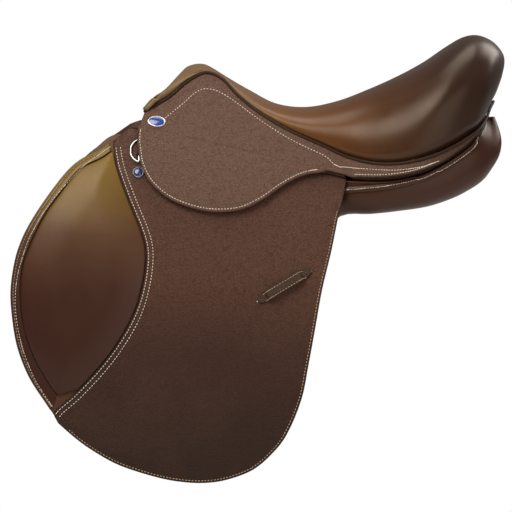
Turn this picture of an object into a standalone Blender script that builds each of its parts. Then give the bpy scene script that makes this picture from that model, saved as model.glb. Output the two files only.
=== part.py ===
"""A close-contact English jumping saddle, built as its separate pieces.

The front (pommel) is at -X, the back (cantle) at +X, the near side at -Y and +Z is up.
The origin is the middle of the horse's back under the panels. All sizes are in millimetres
and become metres where a mesh is made.
"""

import math

import bmesh
import bpy
from mathutils import Matrix, Vector

MM = 0.001

# Leather, pad and strap thicknesses
FIT = 0.3
FLAP_LEATHER = 2.0
FLAP_LINING = 2.2
SKIRT_LEATHER = 3.8
SWEAT_LEATHER = 3.3
SEAT_LEATHER = 2.5
FOAM_EASE = 5.0
STRAP_LEATHER = 3.5
STRAP_ROOM = 2.6
STRAP_PASS = 2.0
WEB_THICK = 1.6
PANEL_THICK = 19.0
KNEE_PAD_RISE = 9.0
KNEE_PAD_EDGE = 2.4
KNEE_BORDER_LEATHER = 1.4
FACING_WIDTH = 8.5
FACING_THICK = 5.0
FACING_EASE = 4.8

# The fold line of flap and skirt: x, half width of the saddle there, z
CREASE_FRONT = (-189.0, 92.0, 107.0)
CREASE_REAR = (77.0, 115.5, 45.0)
FLARE = 97.0
FLARE_FALL = 170.0

# The flap's fixed top: its height over the fold line, and where it leans in to the bar's plate
FLAP_HEAD_RISE = 19.0
HEAD_LEAN_END = -72.0
HEAD_LEAN_RUN = 14.0

# Tree
HEAD_THICK = 9.0
HEAD_LENGTH = 52.0
HEAD_CENTRE_X = -124.0
HEAD_TOP_Z = 157.0
HEAD_FOOT_RISE = 6.0
RAIL_WIDTH = 30.0
RAIL_THICK = 8.5
CANTLE_WIDTH = 34.0
PLATE_STEEL = 1.8
SPRING_WIDTH = 16.0

# Room round moving pieces
RUNNING_GAP = 1.1

# Stirrup bar and its safety catch, in line with the fold line
BAR_CENTRE_X = -118.0
BAR_LENGTH = 86.0
BAR_THICK = 4.5
BAR_DEPTH = 15.0
BAR_DROP = 28.0
BAR_SLOT = 9.0
BAR_PLATE_THICK = 3.4
BAR_PLATE_RISE = 22.0
CATCH_THICK = 2.0
CATCH_LENGTH = 22.0
CATCH_WIDTH = 11.0
CATCH_SWING_ROOM = 1.2

# Girth straps
BILLET_WIDTH = 26.0
BILLET_HOLE = 5.0
HOLE_PITCH = 25.0
HOLE_COUNT = 8
BILLET_TIP_Z = -236.0
WEB_WIDTH = 30.0
WEB_TOP = 3.0
FRONT_STRAP_X = -52.0
REAR_STRAP_X = -20.0
STRAP_PITCH = 30.5
WEB_HANG = 62.0
WEB_LAP = 26.0
LAP_ROOM = 0.6
STRAP_BENDS = 26.0
STRAP_POINT = 16.0
FIRST_HOLE = 34.0

# Small fittings
WELT_RADIUS = 1.9
PANEL_WELT_RADIUS = 2.2
DEE_WIRE = 1.5
CHAPE_LEATHER = 1.2
CHAPE_ROOM = 0.35
CHAPE_TAIL = 9.0
BADGE_LENGTH = 23.0
BADGE_HEIGHT = 15.0
BADGE_THICK = 1.7
STUD_RADIUS = 7.6
STUD_THICK = 2.4
KEEPER_WIDTH = 13.0
KEEPER_RISE = 8.0
KEEPER_LEATHER = 2.0
BADGE_AT = (-168.1, 112.0)
STUD_AT = (-190.0, 54.0)
DEE_PIVOT = (-189.3, 80.0)
DEE_HEIGHT = 26.0
DEE_REACH = 10.0
KEEPER_ENDS = ((-31.5, -97.0), (13.5, -70.5))

# Seat stations from pommel to cantle: crest (x, z), welt (x, z, half width or None on the flank)
SEAT_STATIONS = (((-139.0, 176.0), (-184.5, 126.5, None)), ((-134.0, 184.5), (-170.0, 134.5, None)),
                 ((-122.0, 189.0), (-152.0, 146.0, None)), ((-110.0, 188.8), (-131.0, 164.0, None)),
                 ((-98.0, 183.0), (-108.0, 175.0, None)), ((-78.0, 170.5), (-86.0, 167.0, None)),
                 ((-50.0, 154.5), (-66.0, 146.0, None)), ((-18.0, 138.5), (-40.0, 125.0, None)),
                 ((20.0, 134.0), (-5.0, 104.0, None)), ((60.0, 141.5), (35.0, 86.0, None)),
                 ((100.0, 156.5), (75.0, 73.5, 110.0)), ((140.0, 174.5), (112.0, 67.0, 123.5)),
                 ((172.0, 192.0), (145.0, 69.5, 130.5)), ((200.0, 211.0), (175.0, 77.5, 129.5)),
                 ((222.0, 223.5), (200.0, 88.5, 121.5)), ((240.0, 225.5), (218.0, 98.5, 111.0)),
                 ((259.0, 217.0), (232.0, 108.0, 99.0)), ((272.5, 200.0), (242.0, 119.0, 76.0)),
                 ((272.0, 180.0), (250.0, 133.0, 48.0)), ((266.0, 158.0), (257.0, 142.0, 20.0)),)
SEAT_END = (260.0, 146.0)
SEAT_ACROSS = 14
SEAT_ROUNDNESS = (2.0, 2.0, 2.0, 2.0, 2.0, 2.0, 2.1, 2.2, 2.3, 2.4, 2.5, 2.6, 2.7, 2.8, 2.8, 2.8, 2.7,
                  2.5, 2.3, 2.1)
FOAM_FLOOR = (0.5, 0.5, 0.55, 0.25, 0.25, 0.2, 0.2, 0.2, 0.2, 0.2, 0.2, 0.22, 0.28, 0.39, 0.56, 0.71)
FOAM_SIDE = 0.45
FOAM_PLACES = (2.5, 3.0, 4.0, 5.0, 6.0, 7.0, 8.0, 9.0, 10.0, 11.0, 12.0, 13.0, 14.0, 15.0)

# Side-view outlines, x and z
FLAP_FRONT = ((-216, 98), (-238, 82.8), (-261, 71), (-277, 57.7), (-294.5, 35.8), (-311, 12.3),
              (-324, -9), (-333.5, -28.5), (-341, -51.7), (-346, -85), (-345, -116), (-338, -158),
              (-323, -196), (-302, -228), (-292, -243))
FLAP_BOTTOM = ((-287, -252), (-265, -270.7), (-243, -286), (-211.5, -302.8), (-168, -316.3),
               (-137, -322), (-108, -323.2), (-80, -319), (-48, -306.5), (-24, -286), (-6, -262))
FLAP_REAR = ((11.3, -220.4), (19.9, -179), (28.5, -133), (37, -87), (48.5, -41), (57.5, 0.4), (63.4, 20.4))
GRAIN_EDGE = ((-222, 92), (-220, 77), (-215, 56), (-201, 19.5), (-184.4, -20), (-179, -47.5),
              (-183.9, -87), (-197.7, -126.4), (-225.7, -170.4), (-262, -211), (-289, -235),
              (-292, -243))
KNEE_EDGE = ((-223, 80), (-236, 71), (-257, 61), (-270, 49), (-287, 27), (-302, 6), (-314, -16),
             (-323, -36), (-331, -60), (-334, -92), (-330, -132), (-317, -171), (-300, -201),
             (-288, -218))
SKIRT_EDGE = ((-190.5, 108), (-192, 92), (-190, 76.6), (-186.8, 61), (-174, 38.5), (-148, 18),
              (-108, 5.1), (-68, 5.2), (-38.6, 16.7), (-12, 34.2), (13.6, 46.7), (40, 51.2))
SWEAT_OUTLINE = ((-200, 117), (-226, 107.6), (-242, 94.3), (-262, 75), (-286, 30), (-301, -40),
                 (-297, -110), (-272, -168), (-225, -208), (-160, -228), (-90, -226), (-30, -196),
                 (8, -140), (22, -70), (30, 0), (32, 52))
TAIL_EDGE = ((78.0, 121.0, 48.5), (114.0, 131.0, 48.7), (150.0, 135.0, 54.2), (182.0, 130.0, 65.5),
             (206.0, 120.0, 80.0), (222.0, 110.0, 92.0), (235.0, 100.0, 103.3))

# Panel: stations under the flap (x, lowest z), then stations of the rear roll
PANEL_FRONT = ((-258.0, -10.0), (-246.0, -62.0), (-225.0, -92.0), (-195.0, -106.0), (-155.0, -110.0),
               (-115.0, -104.0), (-75.0, -88.0), (-35.0, -62.0), (0.0, -40.0), (32.0, -18.0))
# Rear stations: bottom (x, z), top (x, z), half width at the top, at the bottom
PANEL_REAR = (((62.0, -1.6), (62.0, 46.0), 108.0, 93.0), ((99.0, 1.4), (99.0, 44.0), 116.0, 98.0),
              ((129.5, 4.5), (130.0, 46.0), 118.0, 98.0), ((170.0, 10.5), (165.0, 54.0), 116.0, 97.0),
              ((201.0, 20.6), (190.0, 66.0), 112.0, 94.0), ((222.0, 30.6), (208.0, 77.0), 106.0, 88.0),
              ((239.0, 41.7), (220.0, 86.0), 100.0, 84.0), ((251.0, 55.6), (230.0, 93.0), 93.0, 78.0),
              ((262.0, 74.0), (237.0, 101.0), 83.0, 72.0), ((265.5, 92.0), (242.0, 109.0), 70.0, 64.0),
              ((262.5, 109.0), (245.0, 116.0), 56.0, 54.0),
              ((258.5, 122.0), (248.0, 121.5), 45.0, 43.0),)
GULLET_HALF = 34.0
LINING_HALF = GULLET_HALF + 3.0
LINING_FRONT = ((-146.0, 136.0), (-118.0, 132.0), (-88.0, 119.0), (-60.0, 101.0))
LINING_REAR = ((229.0, 109.0), (236.0, 120.0), (241.0, 130.0), (246.0, 141.0))
# Section of the rear roll: place between half widths or fixed half width, height share, outward push
REAR_SECTION = ((1.0, 1.0, 0.0), (1.035, 0.86, 0.0), (1.045, 0.6, 0.0), (1.02, 0.34, 0.0),
                (0.955, 0.12, 0.0), (0.84, 0.0, 0.0), (0.66, 0.04, 0.0), (0.48, 0.16, 0.0),
                (0.0, 0.34, 1.0), (0.0, 0.62, 1.0), (0.0, 0.98, 1.0), (0.5, 1.18, 0.0))

# Middle lines of the tree's rails and of its cantle
RAIL_ACROSS = (0.0, -0.93, -0.22)
RAIL_PATH = ((-92.5, 39.0, 136.0), (-60.0, 44.0, 118.0), (-20.0, 54.0, 97.0), (20.0, 66.0, 82.0),
             (60.0, 80.0, 72.0), (100.0, 92.0, 68.0), (140.0, 98.0, 71.0), (176.0, 96.0, 84.0),
             (202.0, 95.0, 104.3))
CANTLE_PATH = ((203.0, -95.0, 106.0), (231.0, -80.0, 138.0), (247.0, -52.0, 170.0),
               (253.0, -26.0, 185.0), (254.5, 0.0, 189.0))

# Colours of the finishes: red, green, blue, roughness, metallic
FINISHES = {"calf": (0.155, 0.070, 0.030, 0.38, 0.0), "grain": (0.120, 0.060, 0.043, 0.60, 0.0),
            "panel_calf": (0.052, 0.020, 0.012, 0.42, 0.0), "strap": (0.070, 0.030, 0.018, 0.50, 0.0),
            "black_piping": (0.010, 0.009, 0.010, 0.45, 0.0), "foam": (0.72, 0.66, 0.50, 0.90, 0.0),
            "beech": (0.45, 0.28, 0.14, 0.60, 0.0), "webbing": (0.55, 0.50, 0.40, 0.90, 0.0),
            "steel": (0.55, 0.55, 0.56, 0.30, 1.0), "blue_enamel": (0.030, 0.070, 0.420, 0.20, 0.0),
            "navy_enamel": (0.015, 0.035, 0.110, 0.25, 0.0),}


def reset_scene():
    for old in list(bpy.data.objects):
        bpy.data.objects.remove(old, do_unlink=True)


def new_collection(name):
    collection = bpy.data.collections.new(name)
    bpy.context.scene.collection.children.link(collection)
    return collection


def finish_material(name, finish):
    """One material for each piece, from the finish that it shares with others."""
    red, green, blue, roughness, metallic = FINISHES[finish]
    material = bpy.data.materials.new(name)
    material.use_nodes = True
    shader = material.node_tree.nodes["Principled BSDF"]
    shader.inputs["Base Color"].default_value = (red, green, blue, 1.0)
    shader.inputs["Roughness"].default_value = roughness
    shader.inputs["Metallic"].default_value = metallic
    material.diffuse_color = (red, green, blue, 1.0)
    return material


def add_object(name, bm, finish, collection, origin=None, smooth=True):
    """Makes the piece from a bmesh in millimetres, with its origin at the given point."""
    at = Vector(origin) if origin else Vector()
    if all(len(edge.link_faces) == 2 for edge in bm.edges) and bm.calc_volume(signed=True) < 0:
        bmesh.ops.reverse_faces(bm, faces=bm.faces)
    bmesh.ops.translate(bm, verts=bm.verts, vec=-at)
    bmesh.ops.scale(bm, verts=bm.verts, vec=(MM, MM, MM))
    mesh = bpy.data.meshes.new(name)
    bm.to_mesh(mesh)
    bm.free()
    if smooth:
        mesh.shade_smooth()
        mesh.set_sharp_from_angle(angle=math.radians(40))
    mesh.materials.append(finish_material(name, finish))
    piece = bpy.data.objects.new(name, mesh)
    piece.location = at * MM
    collection.objects.link(piece)
    return piece


def add_solidify(piece, thickness, offset):
    """Thickness in millimetres. Offset -1 grows the sheet against its normals, 1 along them."""
    modifier = piece.modifiers.new("thickness", "SOLIDIFY")
    modifier.thickness = thickness * MM
    modifier.offset = offset
    modifier.use_even_offset = True
    return modifier


def join(piece, other):
    """Makes the other solid, which is hidden, part of this one."""
    other.hide_render = True
    other.display_type = "WIRE"
    modifier = piece.modifiers.new("join", "BOOLEAN")
    modifier.operation = "UNION"
    modifier.solver = "EXACT"
    modifier.object = other


def spline(points, steps):
    """A smooth curve through the points, with so many steps between two of them."""
    points = [Vector(p) for p in points]
    ends = [points[0] * 2 - points[1]] + points + [points[-1] * 2 - points[-2]]
    found = []
    for i in range(1, len(ends) - 2):
        a, b, c, d = ends[i - 1: i + 3]
        for step in range(steps):
            t = step / steps
            found.append(((b * 2) + (c - a) * t + (a * 2 - b * 5 + c * 4 - d) * t**2
                          + (b * 3 - a - c * 3 + d) * t**3) * 0.5)
    return found + [points[-1]]


def lerp(a, b, t):
    return a + (b - a) * t


def crease_at(x):
    """Half width and height of the fold line at x."""
    t = (x - CREASE_FRONT[0]) / (CREASE_REAR[0] - CREASE_FRONT[0])
    return lerp(CREASE_FRONT[1], CREASE_REAR[1], t), lerp(CREASE_FRONT[2], CREASE_REAR[2], t)


def flank_spread(drop):
    """How far the flank stands out from the fold line, so far below it (or above, when negative)."""
    if drop < 0:
        return drop * FLARE / FLARE_FALL
    return FLARE * (1 - math.exp(-drop / FLARE_FALL))


def flank_normal(x, z):
    drop = crease_at(x)[1] - z
    slope = FLARE / FLARE_FALL * (math.exp(-drop / FLARE_FALL) if drop > 0 else 1.0)
    run = CREASE_REAR[0] - CREASE_FRONT[0]
    widen = (CREASE_REAR[1] - CREASE_FRONT[1]) / run
    fall = (CREASE_REAR[2] - CREASE_FRONT[2]) / run
    return Vector((-(widen + slope * fall), -1.0, slope)).normalized()


def flank(x, z, out):
    """The point of the near side at x and z, so far outside the flap's outer face."""
    half, height = crease_at(x)
    return Vector((x, -(half + flank_spread(height - z)), z)) + flank_normal(x, z) * out


# Layers of the near side, each measured out from the flap's outer face
FLAP_IN = -FLAP_LEATHER
LINING_OUT = FLAP_IN - FIT
LINING_IN = LINING_OUT - FLAP_LINING
FRONT_STRAP_OUT = LINING_IN - STRAP_ROOM
REAR_STRAP_OUT = FRONT_STRAP_OUT - STRAP_LEATHER - STRAP_PASS
SWEAT_OUT = REAR_STRAP_OUT - STRAP_LEATHER - STRAP_ROOM
SWEAT_IN = SWEAT_OUT - SWEAT_LEATHER
PANEL_OUT = SWEAT_IN - FIT
PLATE_IN = SWEAT_OUT + FIT
PLATE_OUT = PLATE_IN + BAR_PLATE_THICK
BAR_IN = PLATE_OUT + BAR_SLOT
BAR_OUT = BAR_IN + BAR_THICK
CATCH_IN = BAR_OUT + FIT
CATCH_OUT = CATCH_IN + CATCH_THICK
DEE_AXIS_OUT = FIT + DEE_WIRE
CHAPE_IN = FIT + 2 * DEE_WIRE + CHAPE_ROOM
CHAPE_OUT = CHAPE_IN + CHAPE_LEATHER
SKIRT_IN = max(CATCH_OUT + RUNNING_GAP, CHAPE_OUT + 2 * FIT)
SKIRT_OUT = SKIRT_IN + SKIRT_LEATHER
HEAD_OUT = PLATE_IN - FIT
HEAD_IN = HEAD_OUT - HEAD_THICK


def mirrored(make):
    """Runs a maker for the near side, then for the off side as its mirror image."""
    for side, sign in (("left", 1), ("right", -1)):
        make(side, sign)


def to_side(bm, sign):
    """Turns a near-side mesh into the off-side one."""
    if sign < 0:
        bmesh.ops.scale(bm, verts=bm.verts, vec=(1, -1, 1))
        bmesh.ops.reverse_faces(bm, faces=bm.faces)
    return bm


def side_point(point, sign):
    return Vector((point[0], point[1] * sign, point[2]))


def loft(rings, closed=True):
    """Skins rings of equal length. Closed rings make a solid with capped ends."""
    bm = bmesh.new()
    rows = [[bm.verts.new(p) for p in ring] for ring in rings]
    count = len(rings[0])
    for a, b in zip(rows, rows[1:]):
        for i in range(count if closed else count - 1):
            j = (i + 1) % count
            bm.faces.new((a[i], a[j], b[j], b[i]))
    if closed:
        bm.faces.new(rows[0][::-1])
        bm.faces.new(rows[-1])
    bmesh.ops.recalc_face_normals(bm, faces=bm.faces)
    return bm


def bar_loft(path, width, thick, width_dir, up=None):
    """A strip of rectangular section along a path. width_dir gives the width's direction at a point."""
    path = [Vector(p) for p in path]
    rings = []
    for i, point in enumerate(path):
        along = (path[min(i + 1, len(path) - 1)] - path[max(i - 1, 0)]).normalized()
        across = Vector(width_dir(point))
        across = (across - along * across.dot(along)).normalized()
        rise = along.cross(across)
        half_width, half_thick = across * width / 2, rise * thick / 2
        rings.append([point + half_width + half_thick, point - half_width + half_thick,
                      point - half_width - half_thick, point + half_width - half_thick])
    return loft(rings)


def outline_sheet(outline, out, cut_pitch, holes=(), cross_cuts=()):
    """A side-view outline laid on the near flank, cut at level lines so that it bends."""
    bm = bmesh.new()
    edges = []
    for loop in (outline, *holes):
        verts = [bm.verts.new((x, 0.0, z)) for x, z in loop]
        edges += [bm.edges.new((a, b)) for a, b in zip(verts, verts[1:] + verts[:1])]
    bmesh.ops.triangle_fill(bm, edges=edges, use_beauty=True)
    slope = (CREASE_REAR[2] - CREASE_FRONT[2]) / (CREASE_REAR[0] - CREASE_FRONT[0])
    up = Vector((-slope, 0.0, 1.0)).normalized()
    start = Vector((CREASE_FRONT[0], 0.0, CREASE_FRONT[2]))
    heights = [(v.co - start).dot(up) for v in bm.verts]
    level = math.floor(min(heights) / cut_pitch) + 1
    while level * cut_pitch < max(heights) - 0.5:
        cut(bm, start + up * (level * cut_pitch), up)
        level += 1
    for x in cross_cuts:
        cut(bm, Vector((x, 0.0, 0.0)), Vector((1.0, 0.0, 0.0)))
    bmesh.ops.dissolve_limit(bm, angle_limit=0.001, verts=bm.verts, edges=[])
    for vert in bm.verts:
        stand = out(vert.co.x, vert.co.z) if callable(out) else out
        vert.co = flank(vert.co.x, vert.co.z, stand)
    bmesh.ops.recalc_face_normals(bm, faces=bm.faces)
    if sum((f.normal.y * f.calc_area() for f in bm.faces)) > 0:
        bmesh.ops.reverse_faces(bm, faces=bm.faces)
    return bm


def cut(bm, point, normal):
    bmesh.ops.bisect_plane(bm, geom=bm.verts[:] + bm.edges[:] + bm.faces[:], dist=0.01, plane_co=point,
                           plane_no=normal)


def flank_layer(name, side, sign, outline, out, thick, finish, parts, pitch=28.0, origin=None, holes=()):
    """A leather layer whose outer face lies at `out` on the flank."""
    bm = to_side(outline_sheet(outline, out, pitch, holes), sign)
    piece = add_object(f"{name}_{side}", bm, finish, parts, origin and side_point(origin, sign))
    add_solidify(piece, thick, -1.0)
    return piece


def smooth_outline(points, steps=2):
    return [(p.x, p.y) for p in spline([(x, z, 0.0) for x, z in points], steps)]


def crease_z(x, above=0.0):
    return crease_at(x)[1] + above


def tube(name, path, radius, finish, parts, closed=False, sides=2, origin=None):
    """A round wire or cord along a path in millimetres."""
    at = Vector(origin) if origin else Vector()
    curve = bpy.data.curves.new(name, "CURVE")
    curve.dimensions = "3D"
    line = curve.splines.new("POLY")
    line.points.add(len(path) - 1)
    for knot, point in zip(line.points, path):
        knot.co = (*((Vector(point) - at) * MM), 1.0)
    line.use_cyclic_u = closed
    curve.bevel_depth = radius * MM
    curve.bevel_resolution = sides
    curve.use_fill_caps = not closed
    curve.materials.append(finish_material(name, finish))
    piece = bpy.data.objects.new(name, curve)
    piece.location = at * MM
    parts.objects.link(piece)
    return piece


def welt_point(welt):
    """The seat's lower edge on the near side. Near the pommel it lies on the flank."""
    x, z, half = welt
    return Vector((x, -half, z)) if half is not None else flank(x, z, SKIRT_OUT)


def station_values(place):
    """Crest, welt, roundness and foam floor at a station number that may be fractional."""
    i = min(int(place), len(SEAT_STATIONS) - 2)
    t = place - i
    (ca, wa), (cb, wb) = SEAT_STATIONS[i], SEAT_STATIONS[i + 1]
    crest = Vector((lerp(ca[0], cb[0], t), 0.0, lerp(ca[1], cb[1], t)))
    welt = welt_point(wa).lerp(welt_point(wb), t)
    roundness = lerp(SEAT_ROUNDNESS[i], SEAT_ROUNDNESS[i + 1], t)
    j = min(i, len(FOAM_FLOOR) - 2)
    floor = lerp(FOAM_FLOOR[j], FOAM_FLOOR[j + 1], min(place - j, 1.0))
    return crest, welt, roundness, floor


def seat_ring(place, inset=0.0, level=1.0, reach=1.0):
    """One cross-section from the near welt over the crest to the off welt."""
    crest, welt, roundness, _ = station_values(place)
    half = -welt.y - inset
    rise = crest.z - welt.z - inset
    ring = []
    for k in range(SEAT_ACROSS + 1):
        angle = math.pi * k / SEAT_ACROSS
        cosine, sine = math.cos(angle), math.sin(angle)
        y = -math.copysign(abs(cosine) ** (2 / roundness), cosine) * half * reach
        lift = max(sine, 0.0) ** (2 / roundness) * level
        ring.append(Vector((lerp(welt.x, crest.x, lift), y, welt.z + rise * lift)))
    return ring


def build_seat(parts):
    rings = [seat_ring(i) for i in range(len(SEAT_STATIONS))]
    bm = bmesh.new()
    rows = [[bm.verts.new(p) for p in ring] for ring in rings]
    for a, b in zip(rows, rows[1:]):
        for i in range(SEAT_ACROSS):
            bm.faces.new((a[i], b[i], b[i + 1], a[i + 1]))
    end = bm.verts.new((SEAT_END[0], 0.0, SEAT_END[1]))
    for i in range(SEAT_ACROSS):
        bm.faces.new((rows[-1][i], end, rows[-1][i + 1]))
    bmesh.ops.recalc_face_normals(bm, faces=bm.faces)
    if sum(f.normal.z * f.calc_area() for f in bm.faces) < 0:
        bmesh.ops.reverse_faces(bm, faces=bm.faces)
    cover = add_object("seat_cover", bm, "calf", parts)
    add_solidify(cover, SEAT_LEATHER, -1.0)

    add_object("seat_foam", loft([foam_section(place) for place in FOAM_PLACES]), "foam", parts)


def foam_section(place):
    """The foam's section inside the cover: a crowned top over a bottom that arches round the tree."""
    crest, welt, roundness, floor = station_values(place)
    inset = SEAT_LEATHER + FOAM_EASE
    half, rise = -welt.y - inset, crest.z - welt.z - inset
    start = math.asin((FOAM_SIDE * floor) ** (roundness / 2))
    edge = math.cos(start) ** (2 / roundness)

    def place_at(across, lift):
        return Vector((lerp(welt.x, crest.x, lift), across * half, welt.z + rise * lift))

    top, bottom = [], []
    for k in range(SEAT_ACROSS + 1):
        angle = start + (math.pi - 2 * start) * k / SEAT_ACROSS
        cosine = math.cos(angle)
        across = -math.copysign(abs(cosine) ** (2 / roundness), cosine)
        top.append(place_at(across, math.sin(angle) ** (2 / roundness)))
        if 0 < k < SEAT_ACROSS:
            bottom.append(place_at(across, floor * (1 - (1 - FOAM_SIDE) * (abs(across) / edge) ** 4)))
    return top + bottom[::-1]


def below_welt(drop, inward=0.0):
    """The seat's edge line moved down across itself, and in towards the saddle."""
    path = [welt_point(welt) for _, welt in SEAT_STATIONS]
    moved = []
    for i, point in enumerate(path):
        along = (path[min(i + 1, len(path) - 1)] - path[max(i - 1, 0)]).normalized()
        half = SEAT_STATIONS[i][1][2]
        out = flank_normal(point.x, point.z) if half is None else Vector((0.0, -1.0, 0.25))
        out = (out - along * out.dot(along)).normalized()
        down = along.cross(out)
        down = -down if down.z > 0 else down
        moved.append(point + down * drop - out * inward)
    return moved


def build_welts(parts):
    """Black piping between the seat and the skirt, along the seat's edge."""
    def make(side, sign):
        path = [side_point(p, sign) for p in below_welt(WELT_RADIUS + FIT)]
        tube(f"seat_welt_{side}", path, WELT_RADIUS, "black_piping", parts, sides=1)

    mirrored(make)


def build_front_facing(parts):
    """The turned leather band round the front of the pommel arch."""
    near, next_ring = seat_ring(0.0), seat_ring(0.5)
    rings = []
    for i, point in enumerate(near):
        tangent = (near[min(i + 1, SEAT_ACROSS)] - near[max(i - 1, 0)]).normalized()
        ahead = point - next_ring[i]
        ahead = (ahead - tangent * ahead.dot(tangent)).normalized()
        inward = tangent.cross(ahead).normalized()
        if inward.dot(Vector((0.0, 0.0, 110.0)) - Vector((0.0, point.y, point.z))) < 0:
            inward = -inward
        rear, front = point + ahead * FACING_EASE, point + ahead * FACING_WIDTH
        rings.append([rear, front, front + inward * FACING_THICK, rear + inward * FACING_THICK])
    add_object("front_facing", loft(rings), "calf", parts)


# Skirt: a fixed top that runs back as a tail, and the lobe that lifts
def build_skirts(parts):
    drop = 2 * (WELT_RADIUS + FIT)
    on_flank = sum(1 for _, (_, _, half) in SEAT_STATIONS if half is None)
    last = on_flank + len(TAIL_EDGE)
    tops = below_welt(drop)[:last]
    backs = below_welt(drop, SKIRT_LEATHER)[:last]

    def make(side, sign):
        rings = []
        for i, (top, back_top) in enumerate(zip(tops, backs)):
            if i < on_flank:
                x = lerp(CREASE_FRONT[0] - 0.5, TAIL_EDGE[0][0] - 14.0, i / (on_flank - 1))
                edge = flank(x, crease_z(x, FIT), SKIRT_OUT)
                back_edge = flank(x, crease_z(x, FIT), SKIRT_IN)
            else:
                x, half, z = TAIL_EDGE[i - on_flank]
                edge = Vector((x, -half, z))
                back_edge = Vector((x, -half + SKIRT_LEATHER, z))
            rings.append([top, top.lerp(edge, 0.5), edge, back_edge, back_top.lerp(back_edge, 0.5),
                          back_top])
        add_object(f"skirt_top_{side}", to_side(loft(rings), sign), "grain", parts)

        curve = smooth_outline(SKIRT_EDGE, 3)
        outline = [(x, z) for x, z in curve if z < crease_z(x, -0.6)]
        outline = [(CREASE_FRONT[0] - 1.5, crease_z(CREASE_FRONT[0] - 1.5, -FIT))] + outline
        last = outline[-1][0] + 4.0
        outline.append((last, crease_z(last, -FIT)))
        flank_layer("skirt_lobe", side, sign, outline, SKIRT_OUT, SKIRT_LEATHER, "grain", parts,
                    origin=hinge_point())

    mirrored(make)


def hinge_point():
    """A point on the fold axis, on the skirt's outer face."""
    x = (CREASE_FRONT[0] + CREASE_REAR[0]) / 2
    return flank(x, crease_z(x), SKIRT_OUT)


# Flap: lining under everything, grain leather behind, knee pad and its border in front
def flap_outline():
    curve = smooth_outline(FLAP_FRONT + FLAP_BOTTOM + FLAP_REAR, 2)
    top_rear = CREASE_REAR[0] - 8.0
    top_front = FLAP_FRONT[0][0] + 14.0
    return curve + [(top_rear, crease_z(top_rear, -FIT)), (top_front, crease_z(top_front, -FIT))]


def bar_window():
    """The hole in the flap that the stirrup bar stands through."""
    half = BAR_LENGTH / 2 + 10.0
    high = BAR_DROP - catch_reach() - CATCH_SWING_ROOM
    low = BAR_DROP + BAR_DEPTH / 2 + 7.0
    corners = ((-half, high), (half + CATCH_LENGTH / 2, high), (half + CATCH_LENGTH / 2, low), (-half, low))
    return [(BAR_CENTRE_X + u, crease_z(BAR_CENTRE_X + u, -d)) for u, d in corners]


def build_flaps(parts):
    whole = flap_outline()
    edge = smooth_outline(GRAIN_EDGE, 2)
    corner = FLAP_FRONT[-1]
    border_in = smooth_outline(KNEE_EDGE, 2)

    grain = edge + smooth_outline(FLAP_BOTTOM + FLAP_REAR, 2) + whole[-2:]
    front = smooth_outline(FLAP_FRONT, 2)
    seam = [(x - FIT - 0.5, z) for x, z in edge]
    pad = border_in + [p for p in reversed(seam) if p[1] > border_in[-1][1] and p[1] < border_in[0][1]]
    border = front[1:-1] + [(x - 0.8, z + 0.8) for x, z in reversed(border_in)]

    def make(side, sign):
        at = hinge_point()
        flank_layer("flap_lining", side, sign, whole, LINING_OUT, FLAP_LINING, "calf", parts, origin=at,
                    holes=(bar_window(),))
        flank_layer("flap", side, sign, grain, 0.0, FLAP_LEATHER, "grain", parts, origin=at,
                    holes=(bar_window(),))
        flank_layer("knee_border", side, sign, border, LINING_OUT + FIT + KNEE_BORDER_LEATHER,
                    KNEE_BORDER_LEATHER, "calf", parts, origin=at)
        bm = pad_mesh(pad, LINING_OUT + FIT)
        add_object(f"knee_pad_{side}", to_side(bm, sign), "calf", parts, side_point(at, sign))

    mirrored(make)


def build_flap_heads(parts):
    """The fixed top of the flap, which leans in to the stirrup bar's plate and is nailed there."""
    thick = FLAP_LEATHER + FIT + FLAP_LINING
    rest = PLATE_OUT + FIT + thick
    front, rear = FLAP_FRONT[0][0] + 16.0, CREASE_REAR[0] - 10.0
    xs = [front, front + FLAP_HEAD_RISE, HEAD_LEAN_END - HEAD_LEAN_RUN, HEAD_LEAN_END]
    xs = xs[:2] + [lerp(xs[1], xs[2], k / 4) for k in range(1, 4)] + xs[2:]
    xs += [lerp(HEAD_LEAN_END, rear, k / 5) for k in range(1, 6)]

    def row(share, inward):
        points = []
        for x in xs:
            reach = FLAP_HEAD_RISE * min(1.0, 0.4 + (x - front) / FLAP_HEAD_RISE)
            lean = max(0.0, min(1.0, (HEAD_LEAN_END - x) / HEAD_LEAN_RUN))
            points.append(flank(x, crease_z(x, lerp(FIT, reach, share)), rest * share * lean - inward))
        return points

    shares = (0.0, 0.5, 1.0)

    def make(side, sign):
        bm = slab([row(share, 0.0) for share in shares], [row(share, thick) for share in shares])
        add_object(f"flap_head_{side}", to_side(bm, sign), "calf", parts)

    mirrored(make)


def pad_mesh(outline, base):
    """A crowned pad: flat back on the flank, swollen face that draws in at the sewn edge."""
    low, high = min(z for _, z in outline), max(z for _, z in outline)
    rows, count = 13, 9
    fronts, backs = [], []
    for r in range(rows + 1):
        z = lerp(high - 1.5, low + 1.5, (1 - math.cos(math.pi * r / rows)) / 2)
        xs = outline_span(outline, z)
        face, back = [], []
        for c in range(count + 1):
            u = (1 - math.cos(math.pi * c / count)) / 2
            x = lerp(xs[0], xs[1], u)
            near = min(min(math.dist((x, z), p) for p in outline) / 46.0, 1.0)
            rise = KNEE_PAD_EDGE + (KNEE_PAD_RISE - KNEE_PAD_EDGE) * math.sin(near * math.pi / 2)
            face.append(flank(x, z, base + rise))
            back.append(flank(x, z, base))
        fronts.append(face)
        backs.append(back)
    return slab(fronts, backs)


def outline_span(outline, z):
    found = []
    for (xa, za), (xb, zb) in zip(outline, outline[1:] + outline[:1]):
        if (za - z) * (zb - z) < 0:
            found.append(lerp(xa, xb, (z - za) / (zb - za)))
    return min(found), max(found)


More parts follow.
